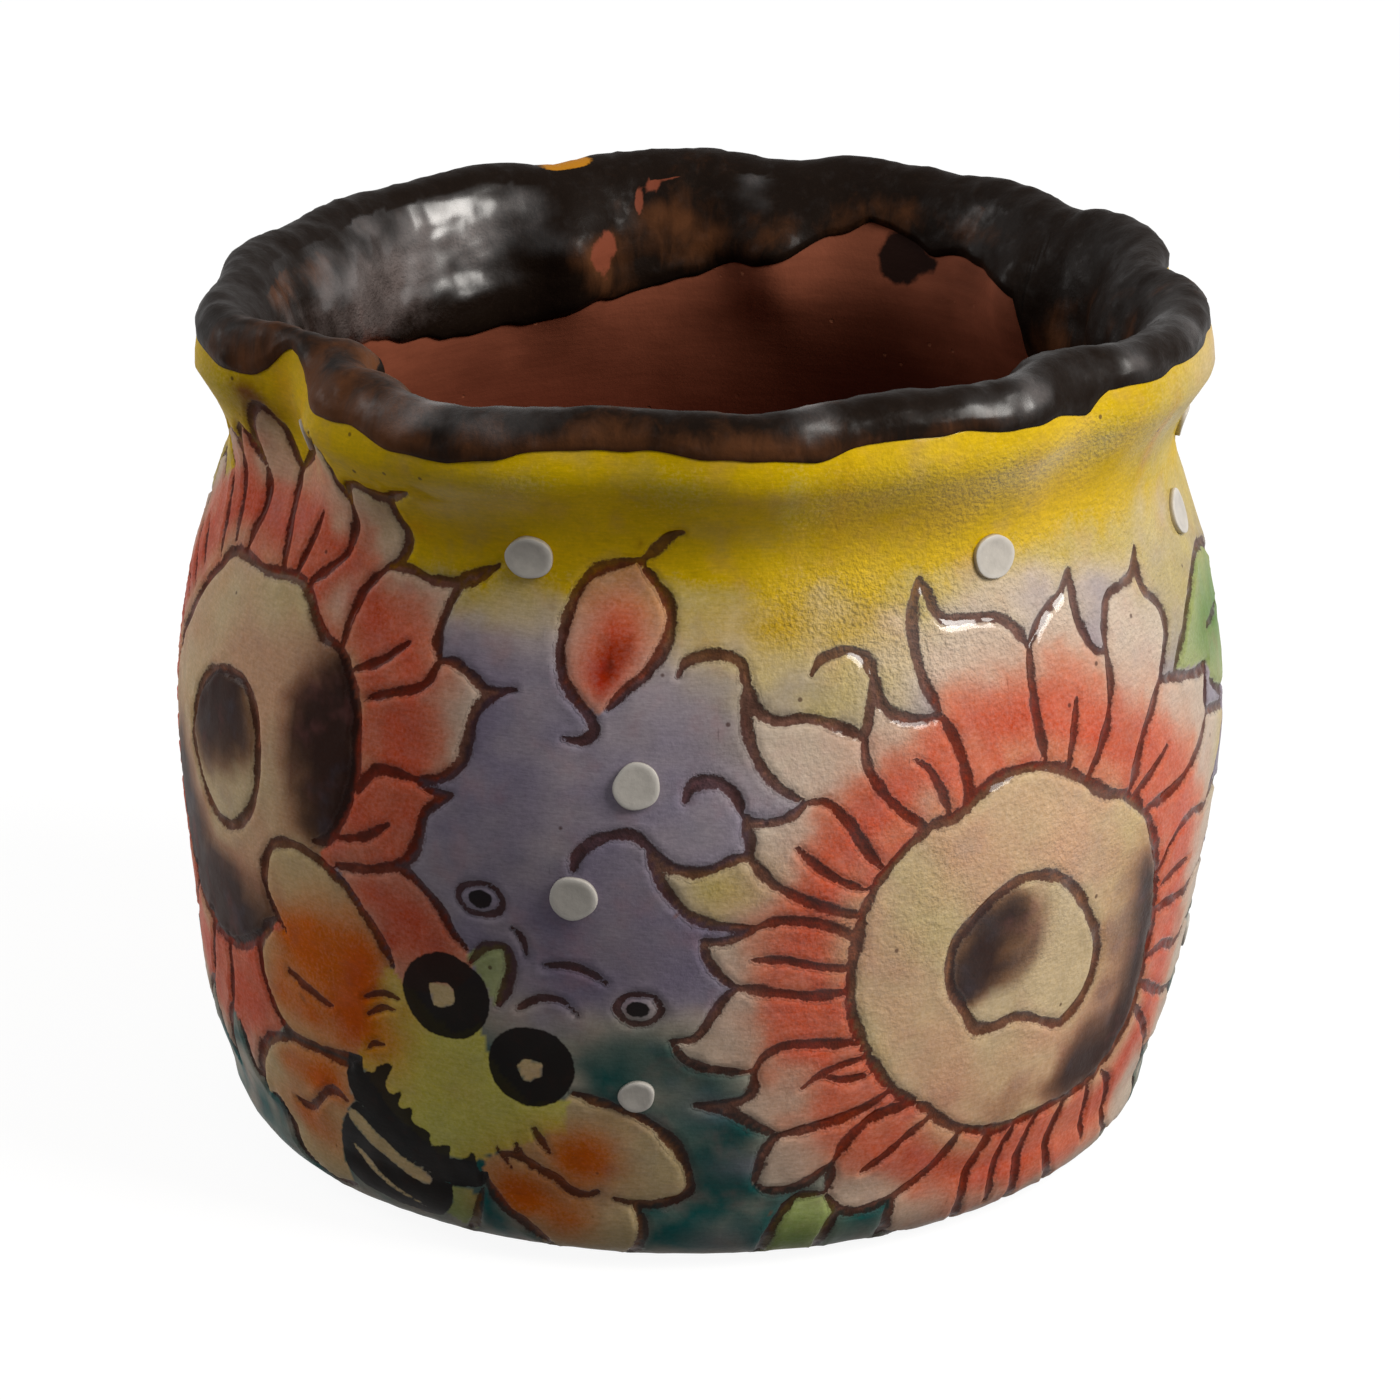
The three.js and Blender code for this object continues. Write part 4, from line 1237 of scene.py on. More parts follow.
INSECT = Sketch(
    patches=(
        Patch(WING_TOP + WING_SIDE[1:] + track(-36, 24, -34.5, 29), Paint.WING),
        Patch(WING_LOW + track(-58, 10.3, -56.5, 8, -55, 4.6, -50, 2.6, -45.6, 4, -46.2, 8, -44.5, 12, -41.5, 15.7,
            -42, 18), Paint.WING),
        Patch(WING_FRONT[:-1] + WING_FOOT + track(-18, 0.8, -20, 5, -22, 6.2, -23.6, 8, -24.4, 10.4, -24, 12.4,
            -20, 14.5, -16, 18), Paint.WING),
        Patch(track(-40, 20.9, -38.6, 27, -35, 33, -31, 30, -27, 26.6, -23.6, 28.4, -22.6, 24.6, -18, 20, -13.4, 21,
            -14, 18, -18, 15.4, -22, 13.6, -25, 12, -30, 12, -36, 16), Paint.HONEY),
        Patch(track(-25, 36, -23, 37.4, -20.6, 37.6, -20, 36, -20.5, 33.5, -21.6, 30.6, -23.4, 33.6),
              Paint.LEAF_PALE, 0.8),
        Patch(track(-29.2, 8, -29.4, 5.8, -30.8, 4.2, -28, 2, -26.4, 3.4, -25.4, 7.6), Paint.LEAF_PALE, 0.9),
    ),
    sprays=(
        (Paint.ORANGE, puffs(
            (-39, 32.5, 4.6, 5.4, 1.0), (-41, 26.5, 7, 5.6, 1.0), (-46, 31, 7, 5.6, 0.9), (-46.5, 16.6, 7.6, 3.4, 1.0),
            (-51, 10.6, 5.6, 3.4, 0.8), (-12.5, 14, 5, 4, 1.0), (-19.6, 8.4, 5.6, 4.6, 1.0), (-36, 24, 3, 3, 0.5),
            (-14.5, 6, 4, 3, 0.45), (-51.5, 25, 4.4, 3.6, 0.7), (-50, 33, 4.4, 3.4, 0.6), (-44, 35, 4, 3, 0.35))),
        (Paint.YELLOW_PALE, puffs((-27, 22, 4, 5, 0.5), (-21, 17, 4, 3, 0.4))),
        (Paint.CORAL_DEEP, puffs((-38.6, 31, 3, 4, 0.25), (-41, 24, 4, 3, 0.3))),
    ),
    cuts=(
        Stroke(WING_TOP), Stroke(WING_SIDE), Stroke(WING_LOW), Stroke(WING_FRONT), Stroke(WING_FOOT),
        Stroke(track(-50.8, 28, -47.5, 27, -43.8, 26)),
        Stroke(track(-38.6, 28.4, -36, 29.4, -33.8, 29.3), 0.8), Stroke(track(-38.2, 26.5, -36, 27.8,
            -34.5, 27.8), 0.8),
        Stroke(track(-38.5, 22.5, -37.5, 23.3, -36.3, 23.4), 0.8),
        Stroke(track(-53, 12.3, -50.5, 12, -48.5, 13.2, -46.5, 15, -44.4, 15.8, -42.8, 15.2)),
        Stroke(track(-60, 10.4, -58, 10.3, -56.6, 8.2, -55, 4.8, -50, 2.8, -46, 3.6)),
        Stroke(track(-24.6, 35.3, -23, 37.2, -20.8, 37.6, -20, 36, -20.3, 33.6, -21.4, 31)),
        Stroke(track(-19.8, 39.8, -18.6, 38.6, -18.2, 36.8), FINE_CUT),
        Stroke(track(-16.3, 35.9, -13.5, 36.3, -11, 35.5, -9.5, 34.5), FINE_CUT),
        Stroke(track(-19.2, 30.8, -17, 32.2, -14.5, 32.3, -12.6, 30.8), FINE_CUT),
        Stroke(track(-21.4, 13.4, -19.6, 13.3, -17.3, 12, -15.5, 11.2, -13.8, 9.7, -11.8, 9.3, -10.7, 9.8)),
        Stroke(track(-17.6, 17, -16.8, 15.6, -15.8, 14.2), FINE_CUT), Stroke(track(-20, 14.8, -19, 13, -18.4, 12), 0.8),
        Stroke(track(-22.3, 14, -21.5, 12.7, -20.9, 11.7), 0.8),
        Stroke(track(-24.4, 10.4, -23.6, 8, -22, 6.2, -20, 4.8, -18.6, 3, -17.6, 1.4)),
        Stroke(track(-25.2, 8, -25.8, 6, -27, 3.6, -29, 1.8), 0.9),
        Stroke(track(-36, 43.6, -33, 44.2, -30.5, 43, -28, 40.5, -26.6, 38.2, -25, 36.6)),
        Stroke(ring(-23.3, 42.5, 2.6, 1.75, 0.06, 3), 0.6, True),
        Stroke(ring(-6.1, 31.9, 2.3, 1.7, 0.06, 4), 0.6, True),
    ),
    inks=(
        FUR, TAIL, ring(-27.7, 30.9, 5.3, 4.9, 0.02, 1), ring(-17.8, 24.3, 5.0, 4.6, 0.02, 2),
        ring(-23.3, 42.6, 1.4, 1.0, 0.05, 5), ring(-6.2, 31.9, 1.3, 0.9, 0.05, 6),
    ),
    bare=(
        ring(-28.1, 31.1, 1.7, 1.45, 0.14, 11), ring(-17.9, 24, 1.5, 1.3, 0.14, 12),
        track(-42.7, 13.9, -41.4, 14.3, -38.5, 12.2, -35.5, 10, -32.6, 8.7, -32, 7.9, -33, 7.3, -36, 8.1, -39.5, 10,
            -42.4, 12.4),
        track(-43.9, 9.6, -42.6, 8, -39.5, 6, -36, 4.7, -33.6, 4.2, -36, 5.2, -39.6, 6.8, -42, 8.8),
    ),
)

LOWER_PETAL = Sketch(
    patches=(
        Patch(track(-41.5, 42.5, -36, 43.6, -33, 44.2, -30.5, 43, -28, 40.5, -26.6, 38.2, -25, 36.6, -24.4, 34,
            -27, 31, -33, 31, -35.6, 35.2, -38, 38), Paint.BLUSH, 0.95),
    ),
    sprays=(
        (Paint.CORAL, puffs((-31.5, 38.6, 6, 5, 0.95), (-37, 41, 3, 2.2, 0.6))),
        (Paint.CORAL_DEEP, puffs((-31, 39, 3.4, 2.6, 0.45), (-34.5, 36, 1, 1, 0.5), (-28.6, 36.6, 1.2, 1.2, 0.4))),
    ),
)


def leaf(edge: Points, back: Points, rib: Points, green: tuple[float, ...]) -> Sketch:
    """A pale leaf with a rib and a green middle.

    Args:
        edge: its first edge, from the stalk to the tip.
        back: points of its other edge, from the tip to the stalk.
        rib: cut inside it.
        green: the spray in its middle.

    Returns:
        The motif.
    """
    return Sketch(
        patches=(Patch(edge + back, Paint.LEAF_PALE),),
        sprays=((Paint.LEAF, puffs(green)),),
        cuts=(Stroke(edge), Stroke(edge[-1:] + back + edge[:1]), Stroke(rib, FINE_CUT)),
    )


LEAF_LEFT = track(162, 70, 157, 66, 154, 60, 158, 61, 162, 65, 166, 71)
LEAF_RIGHT = track(171, 70, 176, 66, 179.6, 60, 175, 61, 171, 65, 168, 71)
FOOT_LEAVES = track(158, 7, 162, 9, 166, 12, 170, 8, 176, 6)
BACK_SPRIGS = (
    leaf(track(86, 30, 90, 34, 92, 40, 90, 45), track(86, 41, 84.6, 35), track(86.6, 32, 88.6, 37, 89.4, 42),
         (88.6, 38, 3, 5, 1.0)),
    Sketch(
        patches=(Patch(LEAF_LEFT, Paint.LEAF_PALE), Patch(LEAF_RIGHT, Paint.LEAF_PALE)),
        sprays=((Paint.LEAF, puffs((159, 65, 4, 4, 1.0), (174.6, 65, 4, 4, 1.0))),),
        cuts=(Stroke(LEAF_LEFT[-1:] + LEAF_LEFT), Stroke(LEAF_RIGHT[-1:] + LEAF_RIGHT),
              Stroke(track(164, 70, 160, 66, 156, 62), FINE_CUT), Stroke(track(169.6, 70, 173.6, 66,
                  177.6, 62), FINE_CUT)),
    ),
    Sketch(
        patches=(Patch(FOOT_LEAVES[2:] + track(173, 2, 166, 2, 160, 3) + FOOT_LEAVES[:2], Paint.LEAF_PALE),),
        sprays=((Paint.LEAF, puffs((166, 6, 5, 3, 1.0),)),),
        cuts=(Stroke(FOOT_LEAVES), Stroke(track(166, 10.6, 166.4, 6, 165.6, 2), FINE_CUT)),
    ),
    leaf(track(249, 27, 253, 31, 256, 38, 255, 45), track(251, 40, 248.6, 33), track(250, 29.6, 252.8, 36, 254, 42),
         (252.6, 36, 3, 6, 1.0)),
)


class Painting:
    """The whole decoration of the outside, with its cuts and inked shapes.

    Attributes:
        lacquer: sprays of clear lacquer.
        motifs: flowers and sketches, in the order in which they are painted.
    """

    lacquer = puffs(
        (24, 70, 11, 6, 1.0), (14, 73, 6, 5, 0.6), (44, 72, 12, 7, 0.6), (62, 66, 12, 12, 0.6), (40, 85, 22, 4, 0.7),
        (38, 46, 34, 28, 0.35), (-25, 84, 8, 3, 0.3), (140, 70, 20, 8, 0.5), (215, 70, 20, 8, 0.5))
    motifs = (
        LEFT_FLOWER, RIGHT_FLOWER, *BACK_FLOWERS, *BACK_SPRIGS, RIGHT_LEAF, DROP, GREEN_SPRIG, LOWER_PETAL, INSECT)

    def strokes(self) -> list[Stroke]:
        """Every cut."""
        return [stroke for motif in self.motifs for stroke in motif.strokes()]

    def inks(self) -> tuple[list[np.ndarray], list[np.ndarray]]:
        """Outlines of the dark shapes, and of the light shapes left inside them.

        Returns:
            The dark outlines and the light ones.
        """
        dark, light = [], []
        for motif in self.motifs:
            if isinstance(motif, Sketch):
                dark += [np.array(outline, float) if outline is FUR else smooth_line(outline, 6, True)
                         for outline in motif.inks]
                light += [smooth_line(outline, 4, True) for outline in motif.bare]
        return dark, light

    def paint(self, canvas: Canvas) -> None:
        """Paints grounds first and then each motif.

        Args:
            canvas: the outside of the pot.
        """
        veil = 1.2 * canvas.soft + 1.6 * canvas.cloud
        self._waist(canvas, veil)
        self._foot(canvas, veil)
        self._neck(canvas, veil)
        for motif in self.motifs:
            motif.paint(canvas)
        self._smudges(canvas)

    @staticmethod
    def _waist(canvas: Canvas, veil: np.ndarray) -> None:
        """Lavender waist with deeper and paler sprays.

        Args:
            canvas: the outside of the pot.
            veil: how far each vertex's height is blurred.
        """
        azimuth, height = canvas.azimuth, canvas.height
        pale = 7 * bell(azimuth, 19, 18)
        violet = smoothstep(height + veil, 26, 33) * (1 - smoothstep(height + veil + pale, 65, 74))
        canvas.lay(Paint.LAVENDER, violet * (0.92 + 0.08 * canvas.soft))
        canvas.dab(Paint.LAVENDER_DEEP, (-15, 50, 12, 8, 0.3), (-6, 40, 12, 7, 0.4), (-26, 60, 9, 9, 0.4),
            (-25, 68, 6, 4, 0.55), (-18, 38, 8, 6, 0.5), (-4, 40, 8, 8, 0.3), (-8, 34, 10, 5, 0.4),
            (3, 60, 6, 5, 0.2), (98, 62, 8, 6, 0.4), (170, 50, 6, 14, 0.5), (250, 50, 6, 14, 0.5), within=violet)
        canvas.dab(Paint.PAPER, (-7, 73, 6, 2.5, 0.5), (55, 66, 8, 6, 0.5), (40, 70, 10, 4, 0.6),
            (10, 60, 5, 5, 0.25), (20, 65, 6, 4, 0.3))

    @staticmethod
    def _foot(canvas: Canvas, veil: np.ndarray) -> None:
        """Teal foot.

        Args:
            canvas: the outside of the pot.
            veil: how far each vertex's height is blurred.
        """
        teal = 1 - smoothstep(canvas.height + veil, 24.5, 32)
        canvas.lay(Paint.TEAL, teal * np.clip(0.78 + 0.3 * canvas.soft, 0, 1))
        canvas.dab(Paint.TEAL, (-2, 16, 6, 6, 0.7), (6, 8, 8, 5, 0.8), (-8, 25, 8, 3.4, 0.6), (2, 26, 8, 3, 0.6),
            (5, 20, 6, 5, 0.5))
        canvas.dab(Paint.SMOKE, (0, 25, 9, 4, 0.35), (2, 14, 8, 5, 0.25))
        canvas.dab(Paint.LAVENDER, (8, 13.6, 4, 1.4, 0.4), (2, 20.6, 3, 1.6, 0.3), (4, 4, 3, 2, 0.3), within=teal)

    @staticmethod
    def _neck(canvas: Canvas, veil: np.ndarray) -> None:
        """Yellow neck with a soft wavy fringe, deepened under the lip partly by painted shade.

        Args:
            canvas: the outside of the pot.
            veil: how far each vertex's height is blurred.
        """
        azimuth, height = canvas.azimuth, canvas.height
        canvas.lay(Paint.YELLOW_PALE, smoothstep(height + veil, 69, 75) * 0.8)
        canvas.dab(Paint.YELLOW_PALE, (13, 65, 9, 7, 0.6), (10, 71, 14, 4, 0.55), (68, 66, 10, 8, 0.75),
            (85, 70, 12, 6, 0.8), (120, 70, 16, 5, 0.6), (-38, 78, 6, 4, 0.5), (200, 69, 18, 5, 0.6))
        edge = (
            75.4 + 0.9 * np.sin(np.radians(azimuth * 3 + 40)) + 1.1 * smoothstep(azimuth, 20, 60)
            - 1.4 * bell(azimuth, 16, 18))
        fringe = smoothstep(height + 1.2 * canvas.soft + 0.6 * canvas.fine, edge - 4.5, edge + 1)
        canvas.dab(Paint.YELLOW_DEEP, (8, 71.6, 10, 3, 0.5), (20, 70.4, 8, 3.4, 0.35))
        canvas.lay(Paint.YELLOW_DEEP, fringe * 0.2)
        strong = smoothstep(height + 0.8 * canvas.soft + 0.6 * canvas.fine, edge - 2, edge + 2)
        canvas.lay(Paint.YELLOW, strong * (0.95 + 0.05 * canvas.soft))
        # Deeper yellow in a band just under the lip: partly the painter's deeper yellow, partly painted shade where the
        # lip overhangs the neck.
        canvas.dab(Paint.YELLOW_DEEP, (-25, 79, 12, 3, 0.4), (-8, 77.6, 8, 2, 0.25), (24, 81.5, 10, 3, 0.5),
            (45, 80, 9, 2.5, 0.5), (-78, 84, 8, 5, 0.4), (110, 80, 16, 4, 0.5), (170, 80, 16, 4, 0.5),
            (220, 80, 16, 4, 0.5), within=strong)
        canvas.dab(Paint.YELLOW_PALE, (-3, 86, 5, 2.6, 0.7), (10, 85, 1.6, 5, 0.8), (14, 84, 1.4, 5, 0.5),
            (22, 85.5, 5, 2.2, 0.4), (70, 80, 9, 6, 0.75), (66, 87, 8, 3.4, 0.8), (80, 87, 14, 5, 1.0),
            (52, 85, 3, 3, 0.5), (36, 86, 5, 2.5, 0.35), (-66, 84.5, 3.5, 2.4, 0.6), (-72, 86, 5, 4, 0.7),
            (-20, 86.5, 6, 1.6, 0.5), (86, 84, 5, 4, 0.5), (140, 86, 9, 3, 0.5), (190, 86, 9, 3, 0.5),
            (250, 86, 9, 3, 0.5), within=strong)
        canvas.dab(Paint.CREAM, (78, 87.6, 12, 3.6, 0.8), within=strong)
        canvas.dab(Paint.AMBER, (14.6, 83, 0.8, 6, 0.55), (-58.5, 87.5, 2.4, 2.6, 0.45), (-52, 84, 2, 4, 0.4),
            (-33, 79, 2, 1, 0.4), (64, 82, 0.8, 5, 0.5), (95, 83, 1, 5, 0.4), (178, 83, 1, 5, 0.4),
            (238, 83, 1, 5, 0.4), within=strong)

    @staticmethod
    def _smudges(canvas: Canvas) -> None:
        """Loose sprays over everything: brown smudges, and painted shade that darkens the wall just above the floor.

        Args:
            canvas: the outside of the pot.
        """
        canvas.dab(Paint.UMBER, (-65.3, 86.4, 1.4, 1.1, 1.0), (-64, 85.4, 1.3, 1.4, 0.9),
            (-66.4, 84.2, 1.2, 1.8, 0.7), (-62.4, 84.2, 1.5, 0.9, 0.6), (-39.5, 79.4, 2.4, 1.6, 0.3),
            (-7, 79.6, 0.6, 0.5, 0.5), (3, 81.6, 0.8, 0.5, 0.5))
        # Painted shade: brown laid over the lowest few millimetres of the wall, strongest at the floor.
        canvas.lay(Paint.UMBER, 0.35 * (1 - smoothstep(canvas.height, 0.4, 3.5)))
        freckles = (Mottle(31, 0.9, 40).at(canvas.places) > 2.35).astype(float)
        canvas.lay(Paint.UMBER, freckles * 0.6)


# Shader maths


class Number:
    """A number socket whose Python operators add Math nodes."""

    def __init__(self, recipe: "Recipe", socket: bpy.types.NodeSocket) -> None:
        """Wraps a socket of a recipe's node tree."""
        self.recipe = recipe
        self.socket = socket

    def _math(self, operation: str, *values: Any) -> "Number":
        """Adds one Math node."""
        node = self.recipe.add("ShaderNodeMath", {"operation": operation}, dict(enumerate(values)))
        return Number(self.recipe, node.outputs[0])

    def __add__(self, other: Any) -> "Number":
        """self + other."""
        return self._math("ADD", self, other)

    def __sub__(self, other: Any) -> "Number":
        """self - other."""
        return self._math("SUBTRACT", self, other)

    def __rsub__(self, other: Any) -> "Number":
        """other - self."""
        return self._math("SUBTRACT", other, self)

    def __mul__(self, other: Any) -> "Number":
        """self * other."""
        return self._math("MULTIPLY", self, other)

    __radd__ = __add__
    __rmul__ = __mul__

    def step(self, low: float, high: float) -> "Number":
        """Soft step from 0 at low to 1 at high.

        Args:
            low: value at which it starts to rise.
            high: value at which it is 1.

        Returns:
            The step.
        """
        node = self.recipe.add(
            "ShaderNodeMapRange", {"interpolation_type": "SMOOTHSTEP"},
            {"Value": self, "From Min": low, "From Max": high, "To Min": 0.0, "To Max": 1.0})
        return Number(self.recipe, node.outputs[0])


class Recipe:
    """A material under construction."""

    def __init__(self, name: str, **constants: Any) -> None:
        """Starts a material.

        Args:
            name: its name.
            constants: values of the shader's sockets that are the same all over.
        """
        self.material = bpy.data.materials.new(name)
        self.material.use_nodes = True
        self.tree = self.material.node_tree
        self.shader = self.tree.nodes["Principled BSDF"]
        for socket, value in constants.items():
            self.shader.inputs[socket.replace("_", " ")].default_value = value
        self.coordinates = self.add("ShaderNodeTexCoord", {}, {}).outputs["Object"]

    def add(self, kind: str, settings: dict[str, Any], inputs: dict[Any, Any]) -> bpy.types.Node:
        """Adds one node.

        Args:
            kind: its type.
            settings: its properties, set first.
            inputs: a value or a link for each socket, by name or number.

        Returns:
            The node.
        """
        node = self.tree.nodes.new(kind)
        for name, value in settings.items():
            setattr(node, name, value)
        for key, value in inputs.items():
            socket = node.inputs[key]
            value = getattr(value, "socket", value)
            if isinstance(value, bpy.types.NodeSocket):
                self.tree.links.new(value, socket)
            else:
                socket.default_value = value
        return node

    def attribute(self, name: str) -> Number:
        """A number kept on the mesh."""
        node = self.add("ShaderNodeAttribute", {"attribute_name": name}, {})
        return Number(self, node.outputs["Fac"])

    def colour_attribute(self, name: str) -> bpy.types.NodeSocket:
        """A colour kept on the mesh."""
        return self.add("ShaderNodeAttribute", {"attribute_name": name}, {}).outputs["Color"]

    def noise(
        self, size: float, detail: float = 2.0, roughness: float = 0.5, stretch: tuple[float, float, float] = (1, 1, 1),
        warp: float = 0.0,
    ) -> Number:
        """Noise whose patches have a size in millimetres.

        Args:
            size: size of a patch.
            detail: octaves.
            roughness: strength of the finer ones.
            stretch: how much shorter the patches are along each axis.
            warp: how far it is distorted.

        Returns:
            The noise, about 0.5 on average.
        """
        place = self.add(
            "ShaderNodeMapping", {}, {"Vector": self.coordinates, "Scale": tuple(1 / (size * MM) * s for s in stretch)})
        node = self.add(
            "ShaderNodeTexNoise", {"noise_dimensions": "3D"},
            {"Vector": place.outputs[0], "Scale": 1.0, "Detail": detail, "Roughness": roughness, "Distortion": warp})
        return Number(self, node.outputs[0])

    def cells(self, size: float) -> tuple[Number, bpy.types.NodeSocket]:
        """Scattered points: distance in cells to the nearest, and a random colour of its own.

        Args:
            size: size of a cell.

        Returns:
            The distance and the colour.
        """
        node = self.add(
            "ShaderNodeTexVoronoi", {"feature": "F1", "voronoi_dimensions": "3D"},
            {"Vector": self.coordinates, "Scale": 1 / (size * MM), "Randomness": 1.0})
        return Number(self, node.outputs["Distance"]), node.outputs["Color"]

    def mix(self, share: Any, start: Any, end: Any, blend: str = "MIX") -> bpy.types.NodeSocket:
        """Colour between two, or one blended onto the other.

        Args:
            share: how much of the second.
            start: the first colour.
            end: the second colour.
            blend: how the second is blended.

        Returns:
            The colour.
        """
        def whole(value: Any) -> Any:
            """A link as it is, or a colour with its alpha."""
            return value if isinstance(value, bpy.types.NodeSocket) else (*value, 1.0)

        node = self.add(
            "ShaderNodeMix", {"data_type": "RGBA", "blend_type": blend, "clamp_factor": True},
            {0: share, 6: whole(start), 7: whole(end)})
        return node.outputs[2]

    def grey(self, colour: bpy.types.NodeSocket) -> Number:
        """First channel of a colour."""
        node = self.add("ShaderNodeSeparateColor", {}, {0: colour})
        return Number(self, node.outputs[0])

    def tone(self, colour: bpy.types.NodeSocket, value: Any, saturation: Any = 1.0) -> bpy.types.NodeSocket:
        """Colour made lighter or darker, richer or paler."""
        node = self.add("ShaderNodeHueSaturation", {}, {"Color": colour, "Value": value, "Saturation": saturation})
        return node.outputs[0]

    def bump(self, height: Number, strength: float = 1.0) -> None:
        """Feeds a height in millimetres to the shader's normal."""
        node = self.add("ShaderNodeBump", {}, {"Height": height, "Distance": MM, "Strength": strength})
        self.feed(Normal=node.outputs[0])

    def feed(self, **links: Any) -> None:
        """Connects values or links to the shader's sockets."""
        for name, value in links.items():
            self.tree.links.new(getattr(value, "socket", value), self.shader.inputs[name.replace("_", " ")])


@dataclass(frozen=True)
class PaintedClay:
    """Soft paint on pale clay under a thin clear lacquer.

    Attributes:
        roughness: roughness of the paint, before its mottle.
        grain: height of the fine grain.
    """

    roughness: float = 0.5
    grain: float = 0.02

    def material(self) -> bpy.types.Material:
        """Builds the material.

        Returns:
            The material.
        """
        recipe = Recipe("painted_clay", Specular_IOR_Level=0.03, Coat_Roughness=0.1, Coat_IOR=1.5)
        paint = recipe.colour_attribute("paint")
        weave = recipe.noise(0.5, 2, 0.6, (0.4, 0.4, 2.0))
        speckle = recipe.noise(0.4, 3, 0.65)
        wipe = recipe.noise(2.8, 3, 0.55, warp=0.6)
        cloud = recipe.noise(9, 3, 0.5)
        paint = recipe.tone(
            paint, weave * 0.42 + speckle * 0.4 + wipe * 0.3 + cloud * 0.2 + 0.36, 1.26 - speckle * 0.4)
        paint = recipe.mix(recipe.noise(5.2, 3, 0.6).step(0.5, 0.74) * 0.14, paint, pigment(188, 120, 118))
        paint = recipe.mix(recipe.noise(6.1, 3, 0.6).step(0.52, 0.76) * 0.12, paint, pigment(104, 118, 142))
        distance, seed = recipe.cells(3.4)
        fleck = (1 - distance.step(0.045, 0.1)) * recipe.grey(seed).step(0.72, 0.78)
        paint = recipe.mix(fleck * 0.75, paint, Paint.BARK.linear)
        chip = (recipe.noise(0.36, 3, 0.7) - 0.5) * 1.1 + (recipe.noise(1.2, 2) - 0.5) * 0.8
        cut = recipe.attribute("cut") + chip
        groove = 1 - cut.step(0.92, 1.28)
        floor = 1 - cut.step(0.0, 0.62)
        deep = recipe.mix(0.85, paint, pigment(122, 60, 52), "MULTIPLY")
        stain = recipe.mix(recipe.noise(1.7, 3, 0.6).step(0.3, 0.7) * 0.6 + 0.12, deep, Paint.BARK.linear * 0.9)
        stain = recipe.tone(stain, 0.86 + floor * recipe.noise(2.4, 2).step(0.35, 0.65) * 0.7, 1.1)
        colour = recipe.mix(groove * 0.97, paint, stain)
        burr = cut.step(0.95, 1.2) * (1 - cut.step(1.25, 1.75))
        colour = recipe.mix(burr * 0.34 * recipe.noise(0.7, 2).step(0.3, 0.7), colour, Paint.BARK.linear)
        blot = recipe.attribute("ink") + (recipe.noise(0.6, 3, 0.6) - 0.5) * 0.4
        ink = 1 - blot.step(-0.12, 0.1)
        dark = recipe.mix(
            recipe.noise(1.4, 3, 0.6).step(0.5, 0.85) * 0.3, Paint.INK.linear * 0.8, Paint.BARK.linear * 0.7)
        colour = recipe.mix(ink * 0.98, colour, dark)
        lacquer = recipe.attribute("lacquer")
        beads = recipe.noise(0.55, 2, 0.6)
        recipe.feed(
            Base_Color=colour,
            Roughness=self.roughness + (recipe.noise(2.6, 3, 0.6) - 0.5) * 0.3,
            Coat_Weight=lacquer * 0.95 + (groove * 0.3 + burr * 0.5) * (lacquer * 1.4 + 0.12) + 0.03,
        )
        tooth = (weave + speckle) * self.grain + recipe.noise(1.3, 2) * self.grain * 0.8
        recipe.bump(tooth - groove * 0.09 + burr * 0.05 + beads * (lacquer * 0.5 + groove * 0.1) - ink * 0.015, 1.0)
        return recipe.material


@dataclass(frozen=True)
class Terracotta:
    """Bare fired clay inside, with marks of the wheel, a dark splash, and painted shade that darkens it towards the
    floor.
    """

    tone: tuple[int, int, int] = (156, 90, 66)

    def material(self) -> bpy.types.Material:
        """Builds the material.

        Returns:
            The material.
        """
        recipe = Recipe("terracotta", Specular_IOR_Level=0.03)
        clay = pigment(*self.tone)
        cloud = recipe.noise(12, 4, 0.55)
        brush = recipe.noise(2.2, 3, 0.6, (0.3, 0.3, 1.8))
        base = recipe.mix(cloud.step(0.35, 0.7), clay * 0.72, clay * 1.12)
        base = recipe.tone(base, 0.78 + brush * 0.42, 1.0)
        distance, seed = recipe.cells(2.6)
        pit = (1 - distance.step(0.05, 0.12)) * recipe.grey(seed).step(0.6, 0.66)
        base = recipe.mix(pit * 0.6, base, pigment(214, 140, 104))
        blot = recipe.attribute("ink") + (recipe.noise(1.6, 3, 0.6) - 0.5) * 1.2
        splash = 1 - blot.step(-0.3, 0.35)
        # Painted shade: the clay is darkened deeper inside the pot, towards the floor.
        deep = recipe.attribute("deep")
        base = recipe.mix(deep * 0.9, base, pigment(84, 28, 16))
        base = recipe.mix(splash * 0.95, base, pigment(24, 19, 18))
        recipe.feed(Base_Color=base, Roughness=0.62 + (brush - 0.5) * 0.25 - splash * 0.12)
        recipe.bump(brush * 0.05 + recipe.noise(0.5, 3, 0.65) * 0.04 - pit * 0.08)
        return recipe.material


@dataclass(frozen=True)
class BareFoot:
    """Unpainted clay under the pot, rubbed and a little dirty."""

    tone: tuple[int, int, int] = (186, 122, 88)

    def material(self) -> bpy.types.Material:
        """Builds the material.

        Returns:
            The material.
        """
        recipe = Recipe("bare_clay")
        clay = pigment(*self.tone)
        cloud = recipe.noise(10, 4, 0.6)
        base = recipe.mix(cloud.step(0.3, 0.7), clay * 0.7, clay * 1.1)
        base = recipe.tone(base, 0.85 + recipe.noise(0.7, 3, 0.6) * 0.3, 1.0)
        recipe.feed(Base_Color=base, Roughness=0.7 + (cloud - 0.5) * 0.2)
        recipe.bump(recipe.noise(0.6, 3, 0.7) * 0.08 + recipe.noise(3, 2) * 0.1)
        return recipe.material


